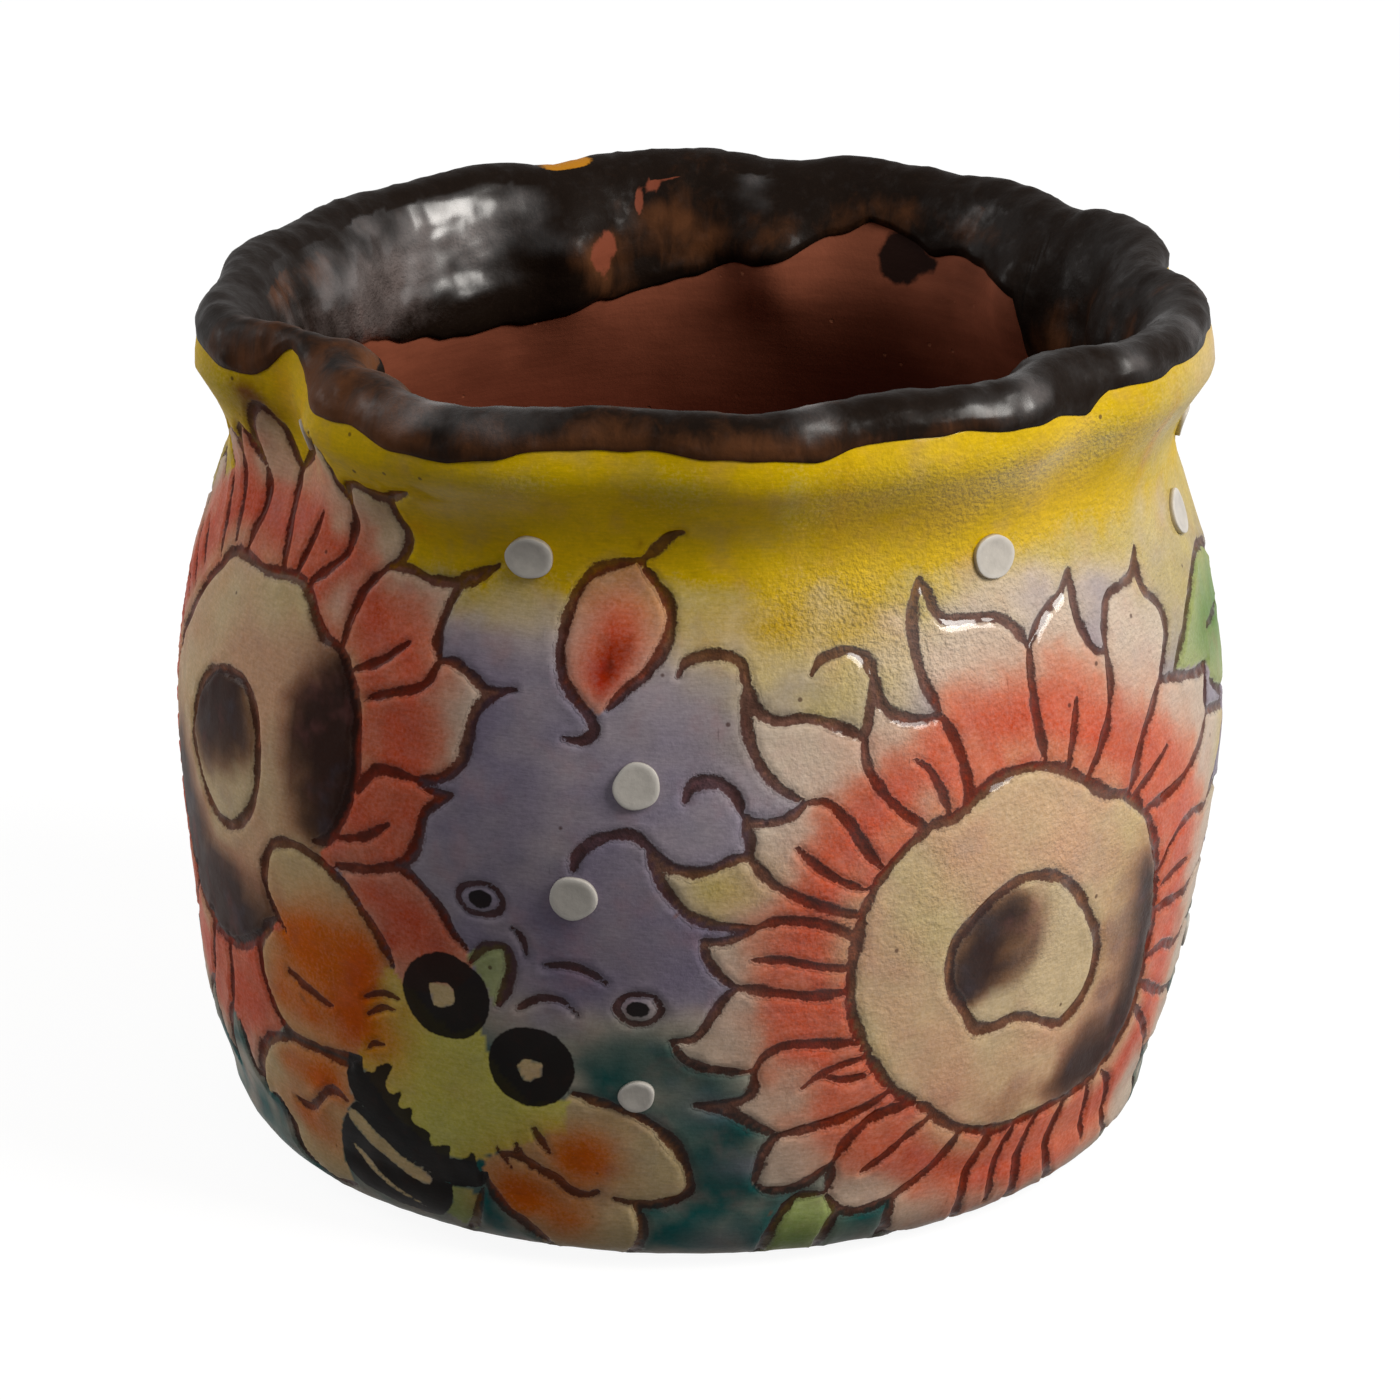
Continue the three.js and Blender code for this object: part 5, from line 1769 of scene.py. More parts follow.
@dataclass(frozen=True)
class DarkGlaze:
    """Thick black-brown glaze with brushed thin places and a bumpy shine, and a painted sheen that lightens it towards
    grey where it shines.
    """

    dark: tuple[int, int, int] = (25, 17, 12)
    thin: tuple[int, int, int] = (98, 60, 36)

    def material(self) -> bpy.types.Material:
        """Builds the material.

        Returns:
            The material.
        """
        recipe = Recipe("dark_glaze", Specular_IOR_Level=0.03, Coat_Roughness=0.25, Coat_IOR=1.8)
        thin = recipe.attribute("thin")
        brush = recipe.noise(2.4, 4, 0.62, (1.3, 1.3, 0.45), 0.6)
        patch = recipe.noise(7.5, 3, 0.55)
        wear = (thin + (brush - 0.5) * 0.7 + (patch - 0.5) * 0.6).step(0.3, 1.1)
        base = recipe.mix(wear, pigment(*self.dark), pigment(*self.thin))
        base = recipe.mix(recipe.noise(0.6, 3, 0.6).step(0.5, 0.8) * 0.12, base, pigment(64, 48, 38))
        # Painted sheen: where the glaze shines, its colour is lightened towards grey.
        painted_sheen = (recipe.attribute("sheen") + (recipe.noise(2.2, 4, 0.65) - 0.5) * 0.6).step(0.35, 1.2)
        base = recipe.mix(painted_sheen * 0.8, base, pigment(122, 110, 107))
        bare = recipe.attribute("bare")
        show = (bare + (recipe.noise(1.3, 3, 0.6) - 0.5) * 0.4).step(0.45, 0.6)
        base = recipe.mix(show * 0.85, base, recipe.colour_attribute("under"))
        beads = recipe.noise(0.45, 2, 0.6)
        dents = recipe.noise(6.5, 2, 0.5)
        sheen = (recipe.attribute("sheen") + (recipe.noise(3.4, 3, 0.6) - 0.5) * 0.5).step(0.1, 0.9)
        recipe.feed(
            Base_Color=base,
            Roughness=0.45 + wear * 0.12 + (recipe.noise(1.6, 3, 0.6) - 0.5) * 0.3,
            Coat_Weight=sheen * 0.8 + recipe.noise(1.8, 3, 0.6).step(0.5, 0.8) * 0.08 + 0.01,
        )
        recipe.bump(dents * 0.45 + recipe.noise(1.5, 2, 0.55) * 0.05 + beads * (sheen * 0.42 + 0.04), 1.0)
        return recipe.material


@dataclass(frozen=True)
class WhiteSlip:
    """Thick dots of white slip under the same lacquer, with a painted highlight ring near the rim of their tops."""

    tone: tuple[int, int, int] = (200, 194, 186)

    def material(self) -> bpy.types.Material:
        """Builds the material.

        Returns:
            The material.
        """
        recipe = Recipe("white_slip", Specular_IOR_Level=0.1, Coat_Weight=0.15, Coat_Roughness=0.2)
        slip = pigment(*self.tone)
        cloud = recipe.noise(1.8, 3, 0.6)
        base = recipe.mix(cloud.step(0.3, 0.75), slip * 0.86, slip * 1.04)
        edge = recipe.attribute("edge")
        # Painted highlight: a lighter ring just inside the rim of the dot's top.
        base = recipe.mix(edge.step(0.72, 0.95) * (1 - edge.step(0.96, 1.0)) * 0.35, base, pigment(228, 224, 218))
        recipe.feed(Base_Color=base, Roughness=0.34 + (recipe.noise(0.9, 3, 0.6) - 0.5) * 0.24)
        recipe.bump(recipe.noise(0.5, 3, 0.6) * 0.03)
        return recipe.material


# Mesh helpers


def keep(mesh: bpy.types.Mesh, name: str, values: np.ndarray) -> None:
    """Stores a number or a colour for each vertex.

    Args:
        mesh: the mesh.
        name: name of the attribute.
        values: a number, or a row of three, for each vertex.
    """
    values = np.asarray(values, np.float32)
    if values.ndim == 2:
        layer = mesh.attributes.new(name, "FLOAT_COLOR", "POINT")
        layer.data.foreach_set("color", np.column_stack([values, np.ones(len(values), np.float32)]).ravel())
    else:
        mesh.attributes.new(name, "FLOAT", "POINT").data.foreach_set("value", values)


def set_places(mesh: bpy.types.Mesh, places: np.ndarray) -> None:
    """Moves each vertex to its place, which is given in millimetres, inside the CAD model's box.

    Args:
        mesh: the mesh.
        places: places as rows.
    """
    low, high = (np.array(corner) for corner in CAD_BOX)
    inside = np.clip(places * MM, low + 1e-6, high - 1e-6)
    mesh.vertices.foreach_set("co", inside.astype(np.float32).ravel())
    mesh.update()


def corners(mesh: bpy.types.Mesh) -> tuple[np.ndarray, np.ndarray]:
    """Vertex and face of each face corner.

    Args:
        mesh: the mesh.

    Returns:
        The vertex and the face of each.
    """
    vertex = np.empty(len(mesh.loops), np.int64)
    mesh.loops.foreach_get("vertex_index", vertex)
    total = np.empty(len(mesh.polygons), np.int64)
    mesh.polygons.foreach_get("loop_total", total)
    return vertex, np.repeat(np.arange(len(total)), total)


def face_mean(values: np.ndarray, vertex: np.ndarray, face: np.ndarray) -> np.ndarray:
    """Mean of a vertex value over each face."""
    return np.bincount(face, values[vertex]) / np.bincount(face)


def add_piece(mesh: bpy.types.Mesh, name: str, nodes: Sequence[str]) -> bpy.types.Object:
    """Links a finished mesh as a piece of the pot.

    Args:
        mesh: the mesh.
        name: the piece's name.
        nodes: the CAD nodes that it stands for.

    Returns:
        The object.
    """
    mesh.polygons.foreach_set("use_smooth", np.ones(len(mesh.polygons), bool))
    piece = bpy.data.objects.new(name, mesh)
    bpy.context.scene.collection.objects.link(piece)
    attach(piece, "root")
    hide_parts(*nodes)
    LOG.info("%s: %d vertices, %d faces", name, len(mesh.vertices), len(mesh.polygons))
    return piece


# Pieces


@dataclass
class ClayBody:
    """The fired body, cut and painted.

    Attributes:
        form: its shape.
        painting: its decoration.
        columns: columns of the coarse net, a multiple of 3.
        row: height of a row of the coarse net.
        reaches: how near a cut each refinement starts.
        depth: depth of the cuts.
        blots: azimuth, height and radius of each dark blot on the clay inside.
    """

    form: PotForm
    painting: Painting
    columns: int = 186
    row: float = 1.85
    reaches: tuple[float, ...] = (1.5, 0.72)
    depth: float = 0.4
    blots: tuple[tuple[float, float, float], ...] = ((150.5, 84.2, 3.1), (146.6, 83.6, 1.5))

    def build(self) -> bpy.types.Object:
        """Builds and dresses the piece.

        Returns:
            The object.
        """
        cuts = LineField(self.painting.strokes(), self.form)
        dark, light = self.painting.inks()
        edges = LineField([Stroke(tuple(map(tuple, line)), 1.0, False) for line in (
            np.vstack([outline, outline[:1]]) for outline in dark + light)], self.form)
        net = self._net()
        for reach in self.reaches:
            self._refine(net, (cuts, edges), reach)
        bmesh.ops.recalc_face_normals(net, faces=net.faces[:])
        azimuth, travel = self._read(net)
        mesh = bpy.data.meshes.new("painted_body")
        net.to_mesh(mesh)
        net.free()
        base = self.form.skin(azimuth, travel)
        gap, half = cuts.measure(base)
        level = self.form.section.at(travel)[1]
        outside = travel < self.form.section.marks["crest"]
        cut = np.where(outside, gap / half, UNCUT)
        canvas = Canvas(azimuth, level, base)
        self.painting.paint(canvas)
        ink = self._ink(canvas, edges, dark, light, outside)
        places = self.form.skin(azimuth, travel, self._relief(gap, half, base, travel))
        set_places(mesh, places)
        keep(mesh, "paint", canvas.colour)
        keep(mesh, "cut", np.minimum(cut, UNCUT))
        keep(mesh, "ink", ink)
        keep(mesh, "lacquer", canvas.spray(self.painting.lacquer))
        # Painted shade inside: 1 deep in the pot, fading to 0 near the lip.
        keep(mesh, "deep", np.where(outside, 0.0, 1 - smoothstep(level, 52, 90)))
        self._dress(mesh, azimuth, travel)
        return add_piece(mesh, "painted_body", ["clay_body"])

    def _rows(self) -> np.ndarray:
        """Travel of each row of the coarse net.

        Returns:
            The travels, in order.
        """
        marks = self.form.section.marks
        spans = (
            (0.0, marks["heel"], 9.0), (marks["heel"], marks["lip"], self.row), (marks["lip"], marks["mouth"], 1.5),
            (marks["mouth"], marks["floor"], 2.6), (marks["floor"], marks["middle"], 2.6),
            (marks["middle"], marks["end"], 9.0),
        )
        rows = [
            np.linspace(start, end, max(2, round((end - start) / size)), endpoint=False)
            for start, end, size in spans
        ]
        return np.append(np.concatenate(rows), marks["end"])

    def _net(self) -> bmesh.types.BMesh:
        """Coarse closed net, spun from the section.

        Returns:
            The net, with each vertex's travel.
        """
        net = bmesh.new()
        way = net.verts.layers.float.new("travel")
        rows = self._rows()
        radius, level, _ = self.form.section.at(rows)
        spine = []
        for travel, reach, height in zip(rows, radius, level):
            vertex = net.verts.new((0.0, -reach, height))
            vertex[way] = travel
            spine.append(vertex)
        lines = [net.edges.new(pair) for pair in zip(spine, spine[1:])]
        bmesh.ops.spin(
            net, geom=[*spine, *lines], cent=(0, 0, 0), axis=(0, 0, 1), angle=2 * math.pi, steps=self.columns,
            use_merge=True)
        bmesh.ops.remove_doubles(net, verts=net.verts[:], dist=1e-4)
        return net

    def _read(self, net: bmesh.types.BMesh) -> tuple[np.ndarray, np.ndarray]:
        """Azimuth and travel of each vertex of the unshaped net.

        Args:
            net: the net.

        Returns:
            The azimuths and the travels.
        """
        way = net.verts.layers.float["travel"]
        rows = np.array([(vertex.co.x, vertex.co.y, vertex[way]) for vertex in net.verts])
        return np.degrees(np.arctan2(rows[:, 0], -rows[:, 1])), rows[:, 2]

    def _refine(self, net: bmesh.types.BMesh, fields: Sequence[LineField], reach: float) -> None:
        """Halves the net wherever a cut or the edge of an inked shape is near.

        Args:
            net: the net.
            fields: lines that need a finer net.
            reach: how near a line it starts.
        """
        azimuth, travel = self._read(net)
        marks = self.form.section.marks
        painted = (travel > marks["heel"]) & (travel < marks["lip"] + 6)
        base = self.form.skin(azimuth, travel)
        near = np.zeros(len(base), bool)
        for lines in fields:
            near[painted] |= lines.measure(base[painted])[0] < reach
        net.verts.index_update()
        edges = {
            edge for face in net.faces if any(near[vertex.index] for vertex in face.verts) for edge in face.edges}
        bmesh.ops.subdivide_edges(net, edges=list(edges), cuts=1, use_grid_fill=True)

    def _ink(
        self, canvas: Canvas, edges: LineField, dark: list[np.ndarray], light: list[np.ndarray], outside: np.ndarray,
    ) -> np.ndarray:
        """Signed distance to the inked shapes, negative inside them.

        Args:
            canvas: the vertices.
            edges: edges of the inked shapes.
            dark: outlines of the dark shapes.
            light: outlines of the light shapes in them.
            outside: which vertices are outside.

        Returns:
            The distances, within 2 mm.
        """
        within = np.zeros(len(outside), bool)
        for outline in dark:
            within |= canvas.inside(outline)
        for outline in light:
            within &= ~canvas.inside(outline)
        gap = edges.measure(canvas.places)[0]
        ink = np.clip(np.where(within, -gap, gap), -2, 2)
        azimuth, level = canvas.azimuth % 360, canvas.height
        blot = np.minimum.reduce([
            np.hypot((azimuth - at) * INSIDE_DEGREE, level - height) - radius for at, height, radius in self.blots])
        return np.where(outside, ink, np.clip(blot, -2, 2))

    def _relief(self, gap: np.ndarray, half: np.ndarray, base: np.ndarray, travel: np.ndarray) -> np.ndarray:
        """How far each vertex stands off the smooth body.

        Args:
            gap: distance to the nearest cut.
            half: half width of that cut.
            base: places on the smooth body.
            travel: way along the section.

        Returns:
            The distances off the body.
        """
        marks = self.form.section.marks
        outside = travel < marks["crest"]
        reach = gap / (half + 0.22)
        groove = (1 - smoothstep(reach, 0.15, 1.25)) * (0.85 + 0.3 * Mottle(41, 2.4).at(base))
        burr = smoothstep(reach, 1.0, 1.4) * (1 - smoothstep(reach, 1.4, 2.3))
        relief = np.where(outside, -self.depth * groove + 0.08 * burr, 0.0)
        tooth = 0.035 * Mottle(42, 3.0).at(base) * smoothstep(travel, marks["heel"], marks["heel"] + 4)
        relief += np.where(outside, tooth, 0)
        rings = np.sin(self.form.section.at(travel)[1] * 1.7 + 0.8 * Mottle(43, 25).at(base))
        throwing = 0.1 * rings + 0.08 * Mottle(44, 9).at(base)
        fade = smoothstep(travel, marks["crest"], marks["mouth"] + 4)
        return relief + np.where(outside, 0.0, throwing * fade)

    def _dress(self, mesh: bpy.types.Mesh, azimuth: np.ndarray, travel: np.ndarray) -> None:
        """Gives each face its finish and its place on the map for baking.

        Args:
            mesh: the mesh.
            azimuth: azimuth of each vertex.
            travel: way along the section.
        """
        marks = self.form.section.marks
        vertex, face = corners(mesh)
        way = face_mean(travel, vertex, face)
        turn = np.radians(azimuth)
        pole = (travel < 1e-3) | (travel > marks["end"] - 1e-3)
        weight = np.where(pole, 0.0, 1.0)
        middle = np.degrees(np.arctan2(
            face_mean(np.sin(turn) * weight, vertex, face), face_mean(np.cos(turn) * weight, vertex, face)))
        for finish in (PaintedClay(), Terracotta(), BareFoot()):
            mesh.materials.append(finish.material())
        index = np.where(way > marks["crest"] + 2, 1, np.where(way < marks["heel"], 2, 0)).astype(np.int32)
        mesh.polygons.foreach_set("material_index", index)
        spread = middle[face] + np.where(pole[vertex], 0, wrap(azimuth[vertex] - middle[face]))
        third = np.clip(np.floor((middle + 180) / 120), 0, 2)[face]
        top, bottom = marks["crest"] + 3.5, marks["heel"]
        across = (spread + 180 - third * 120) / 120
        rise = (travel[vertex] - bottom) / (top - bottom)
        inner = (way > top)[face]
        foot = (way < bottom)[face]
        margin, cell = 0.008, 0.5
        size = cell - 2 * margin
        column, row = np.where(third == 1, 1, 0), np.where(third == 2, 1, 0)
        u = column * cell + margin + across * size
        v = row * cell + margin + np.clip(rise, 0, 1) * size
        around = (spread + 180) / 360
        u = np.where(inner | foot, cell + margin + around * size, u)
        deep = (travel[vertex] - top) / (marks["end"] - top)
        v = np.where(inner, cell + margin + deep * size * 0.76, v)
        v = np.where(foot, cell + margin + size * (0.78 + 0.22 * travel[vertex] / bottom), v)
        layer = mesh.uv_layers.new(name="OFBake")
        layer.uv.foreach_set("vector", np.column_stack([u, v]).astype(np.float32).ravel())


@dataclass
class RimGlaze:
    """The coat of glaze over the lip.

    Attributes:
        form: the body under it.
        columns: columns round the pot, a multiple of 8.
        rows: rows over the lip.
        thickness: height of the coat over the clay.
        outer_edge: azimuth, and how far below the crest the coat ends outside.
        inner_edge: azimuth, and level at which it ends inside.
    """

    form: PotForm
    columns: int = 416
    rows: int = 44
    thickness: float = 0.5
    outer_edge: Points = (
        (-180, 3.4), (-160, 2.8), (-140, 3.6), (-120, 3.0), (-105, 3.8), (-90, 3.0), (-82, 2.8), (-74, 3.6), (-68, 4.4),
        (-65.5, 4.9), (-63.5, 4.9), (-61.5, 4.0), (-59.6, 2.6), (-58.2, 1.6), (-57, 1.1), (-55.4, 1.4), (-54, 2.2),
        (-52, 3.3), (-49, 3.8), (-46, 4.0), (-40, 3.8), (-33, 4.4),
        (-27, 4.8), (-23, 4.0), (-19, 3.4), (-12, 3.0), (-4, 3.2), (4, 3.4), (12, 4.0), (18, 3.4), (26, 3.2), (36, 3.6),
        (43, 4.2), (48, 5.0), (52, 3.4), (60, 3.0), (70, 2.8), (80, 2.6), (92, 2.2), (100, 1.8), (110, 3.0), (130, 3.6),
        (150, 3.0), (165, 3.6), (180, 3.4),
    )
    inner_edge: Points = (
        (-180, 81), (-172, 79), (-165, 78.6), (-160, 77), (-150, 76), (-140, 76), (-130, 77.6), (-118, 80),
        (-100, 80.6),
        (-80, 79.4), (-60, 80), (-40, 81), (-20, 80), (0, 80.6), (20, 81), (45, 80), (70, 78.6), (90, 76), (108, 74),
        (120, 74), (122.6, 75), (124.2, 84.4), (132, 85.2), (146, 85.2), (151, 86.6), (156, 87.6), (160, 86), (166, 84),
        (173, 82.6), (180, 81),
    )

    def build(self) -> bpy.types.Object:
        """Builds and dresses the piece.

        Returns:
            The object.
        """
        net = bmesh.new()
        way, skin = net.verts.layers.float.new("share"), net.verts.layers.float.new("skin")
        shares = np.linspace(0, 1, self.rows + 1)
        loop = []
        for level, order in ((1.0, shares), (0.0, shares[::-1])):
            for share in order:
                vertex = net.verts.new((0.0, -60 - 5 * level, 20 * share))
                vertex[way], vertex[skin] = share, level
                loop.append(vertex)
        lines = [net.edges.new(pair) for pair in zip(loop, loop[1:] + loop[:1])]
        bmesh.ops.spin(
            net, geom=[*loop, *lines], cent=(0, 0, 0), axis=(0, 0, 1), angle=2 * math.pi, steps=self.columns,
            use_merge=True)
        rows = np.array([(vertex.co.x, vertex.co.y, vertex[way], vertex[skin]) for vertex in net.verts])
        mesh = bpy.data.meshes.new("rim_glaze_coat")
        net.to_mesh(mesh)
        net.free()
        azimuth = np.degrees(np.arctan2(rows[:, 0], -rows[:, 1]))
        share, over = rows[:, 2], rows[:, 3]
        travel = self._travel(azimuth, share)
        base = self.form.skin(azimuth, travel)
        edge = np.minimum(share, 1 - share)
        body = smoothstep(edge, 0, 0.055)
        waves = 0.06 * Mottle(51, 2.6).at(base) + 0.03 * Mottle(52, 1.2).at(base) + 0.12 * Mottle(53, 6).at(base)
        height = 0.12 + body * (self.thickness - 0.12 + waves * over)
        stand = np.where(over > 0.5, height, 0.03)
        set_places(mesh, self.form.skin(azimuth, travel, stand))
        net = bmesh.new()
        net.from_mesh(mesh)
        bmesh.ops.recalc_face_normals(net, faces=net.faces[:])
        net.to_mesh(mesh)
        net.free()
        thin, bare, under = self._wear(azimuth, travel, base)
        keep(mesh, "thin", thin)
        keep(mesh, "bare", bare)
        keep(mesh, "under", under)
        # Sheen: glossier glaze there, and a painted sheen that lightens its colour.
        keep(mesh, "sheen", self._sheen(azimuth, travel, base))
        mesh.materials.append(DarkGlaze().material())
        self._map(mesh, azimuth, share, over)
        return add_piece(mesh, "rim_glaze_coat", ["rim_glaze"])

    def _travel(self, azimuth: np.ndarray, share: np.ndarray) -> np.ndarray:
        """Way along the section at a share of the coat, between its two wavy edges.

        Args:
            azimuth: azimuth of each vertex.
            share: 0 at the outer edge, 1 at the inner.

        Returns:
            The travels.
        """
        section = self.form.section
        outer, inner = np.array(self.outer_edge), np.array(self.inner_edge)
        drop = np.interp(azimuth, outer[:, 0], outer[:, 1], period=360)
        level = np.interp(azimuth, inner[:, 0], inner[:, 1], period=360)
        turn = np.radians(azimuth)
        ragged = 0.16 * np.sin(31 * turn + 1) + 0.08 * np.sin(53 * turn + 2.4) + 0.03 * np.sin(83 * turn + 0.7)
        start = section.on_wall(self.form.crest_level - np.clip(drop + ragged, 0.4, 6.4))
        end = section.in_mouth(np.minimum(level + 1.5 * ragged, self.form.lip[1] + 2))
        return lerp(start, end, share)

    def _wear(self, azimuth: np.ndarray, travel: np.ndarray, base: np.ndarray) -> tuple[np.ndarray, ...]:
        """Where the glaze is thin, where it is missing, and what shows there.

        Args:
            azimuth: azimuth of each vertex.
            travel: way along the section.
            base: its place on the body.

        Returns:
            How thin, how bare, and the colour that shows.
        """
        canvas = Canvas(azimuth % 360, self.form.section.at(travel)[1], base)
        inside = travel > self.form.section.marks["crest"] + 4
        thin = np.where(inside, canvas.spray(puffs(
            (117, 79, 7, 5, 0.75), (108, 84, 5, 5, 0.5), (138, 89, 10, 2.5, 0.55), (152, 89.5, 6, 2.5, 0.5),
            (160, 87, 8, 3, 0.6), (178, 85, 9, 4, 0.6), (186, 86, 6, 5, 0.6), (195, 83, 6, 5, 0.7),
            (207, 88, 6, 2.4, 0.3),
            (250, 89, 10, 3, 0.55), (264, 90, 9, 3, 0.6), (232, 90, 5, 2, 0.3),
            (90, 88, 10, 4, 0.45))), canvas.spray(puffs(
                (313, 90, 11, 4, 1.0), (325, 90, 8, 4, 0.8), (296, 90, 10, 4, 0.8), (342, 90, 14, 3, 0.75),
                (4, 90, 16, 3, 0.75),
                (26, 89.6, 14, 2.6, 0.45), (60, 90, 10, 4, 0.25), (85, 91, 8, 3, 0.4), (352, 90, 10, 3, 0.3),
                (176, 91, 20, 3, 0.3))))
        bare = np.where(inside, canvas.spray(puffs(
            (186.4, 90, 1.7, 1.2, 0.8), (188.6, 88.6, 0.9, 1.8, 0.9), (194.6, 84.5, 3.4, 4.2, 0.62),
            (224.4, 91.4, 1.6, 0.5, 0.8), (184.5, 91, 3.0, 0.6, 0.7))), canvas.spray(puffs((198, 92.9, 4, 0.3, 0.95))))
        yellow = (canvas.spray(puffs((198, 92.9, 7, 1.4, 1.0))) > 0.3)[:, None]
        under = np.where(yellow, Paint.AMBER.linear, pigment(136, 72, 52))
        return thin, bare, under

    def _sheen(self, azimuth: np.ndarray, travel: np.ndarray, base: np.ndarray) -> np.ndarray:
        """Where the glaze shines, inside and then outside: it is glossier there, and a painted sheen lightens its
        colour.

        Args:
            azimuth: azimuth of each vertex.
            travel: way along the section.
            base: its place on the body.

        Returns:
            The sheen at each.
        """
        canvas = Canvas(azimuth % 360, self.form.section.at(travel)[1], base)
        inside = travel > self.form.section.marks["crest"] + 3
        return np.where(inside, canvas.spray(puffs(
            (240, 84, 14, 7, 0.9), (226, 85, 11, 6, 1.0), (214, 87, 7, 5, 0.75), (204, 88, 5, 4, 0.4),
            (266, 84, 16, 7, 0.6),
            (172, 91, 3, 2.2, 0.6), (140, 90, 5, 2, 0.25))), canvas.spray(puffs(
                (330, 92, 9, 2, 0.6), (342, 92, 6, 1.6, 0.5), (12, 92, 4, 1.6, 0.5), (38, 92, 8, 2, 0.6),
                (58, 92, 8, 2, 0.5), (72, 92, 6, 2, 0.35))))

    def _map(self, mesh: bpy.types.Mesh, azimuth: np.ndarray, share: np.ndarray, over: np.ndarray) -> None:
        """Places each face on the map for baking: eight arcs, each with its over and under skin.

        Args:
            mesh: the mesh.
            azimuth: azimuth of each vertex.
            share: way across the coat.
            over: 1 on the upper skin, 0 on the lower.
        """
        vertex, face = corners(mesh)
        turn = np.radians(azimuth)
        middle = np.degrees(np.arctan2(
            face_mean(np.sin(turn), vertex, face), face_mean(np.cos(turn), vertex, face)))
        arc = np.clip(np.floor((middle + 180) / 45), 0, 7)[face]
        spread = middle[face] + wrap(azimuth[vertex] - middle[face])
        across = (spread + 180 - arc * 45) / 45
        margin = 0.006
        skin = face_mean(over, vertex, face)[face]
        u = (arc % 4) * 0.25 + margin + across * (0.25 - 2 * margin)
        rise = np.where(skin > 0.5, share[vertex] * 0.6, 0.63 + share[vertex] * 0.32)
        edge = (skin > 0.3) & (skin < 0.7)
        first = face_mean(share, vertex, face)[face] < 0.5
        strip = np.where(first, 0.605, 0.617) + 0.008 * over[vertex]
        rise = np.where(edge, strip, rise)
        v = np.floor(arc / 4) * 0.5 + margin + rise * (0.5 - 2 * margin)
        layer = mesh.uv_layers.new(name="OFBake")
        layer.uv.foreach_set("vector", np.column_stack([u, v]).astype(np.float32).ravel())


@dataclass(frozen=True)
class DotSpot:
    """Where one dot of slip sits, as in the CAD source."""

    azimuth: float
    height: float
    radius: float


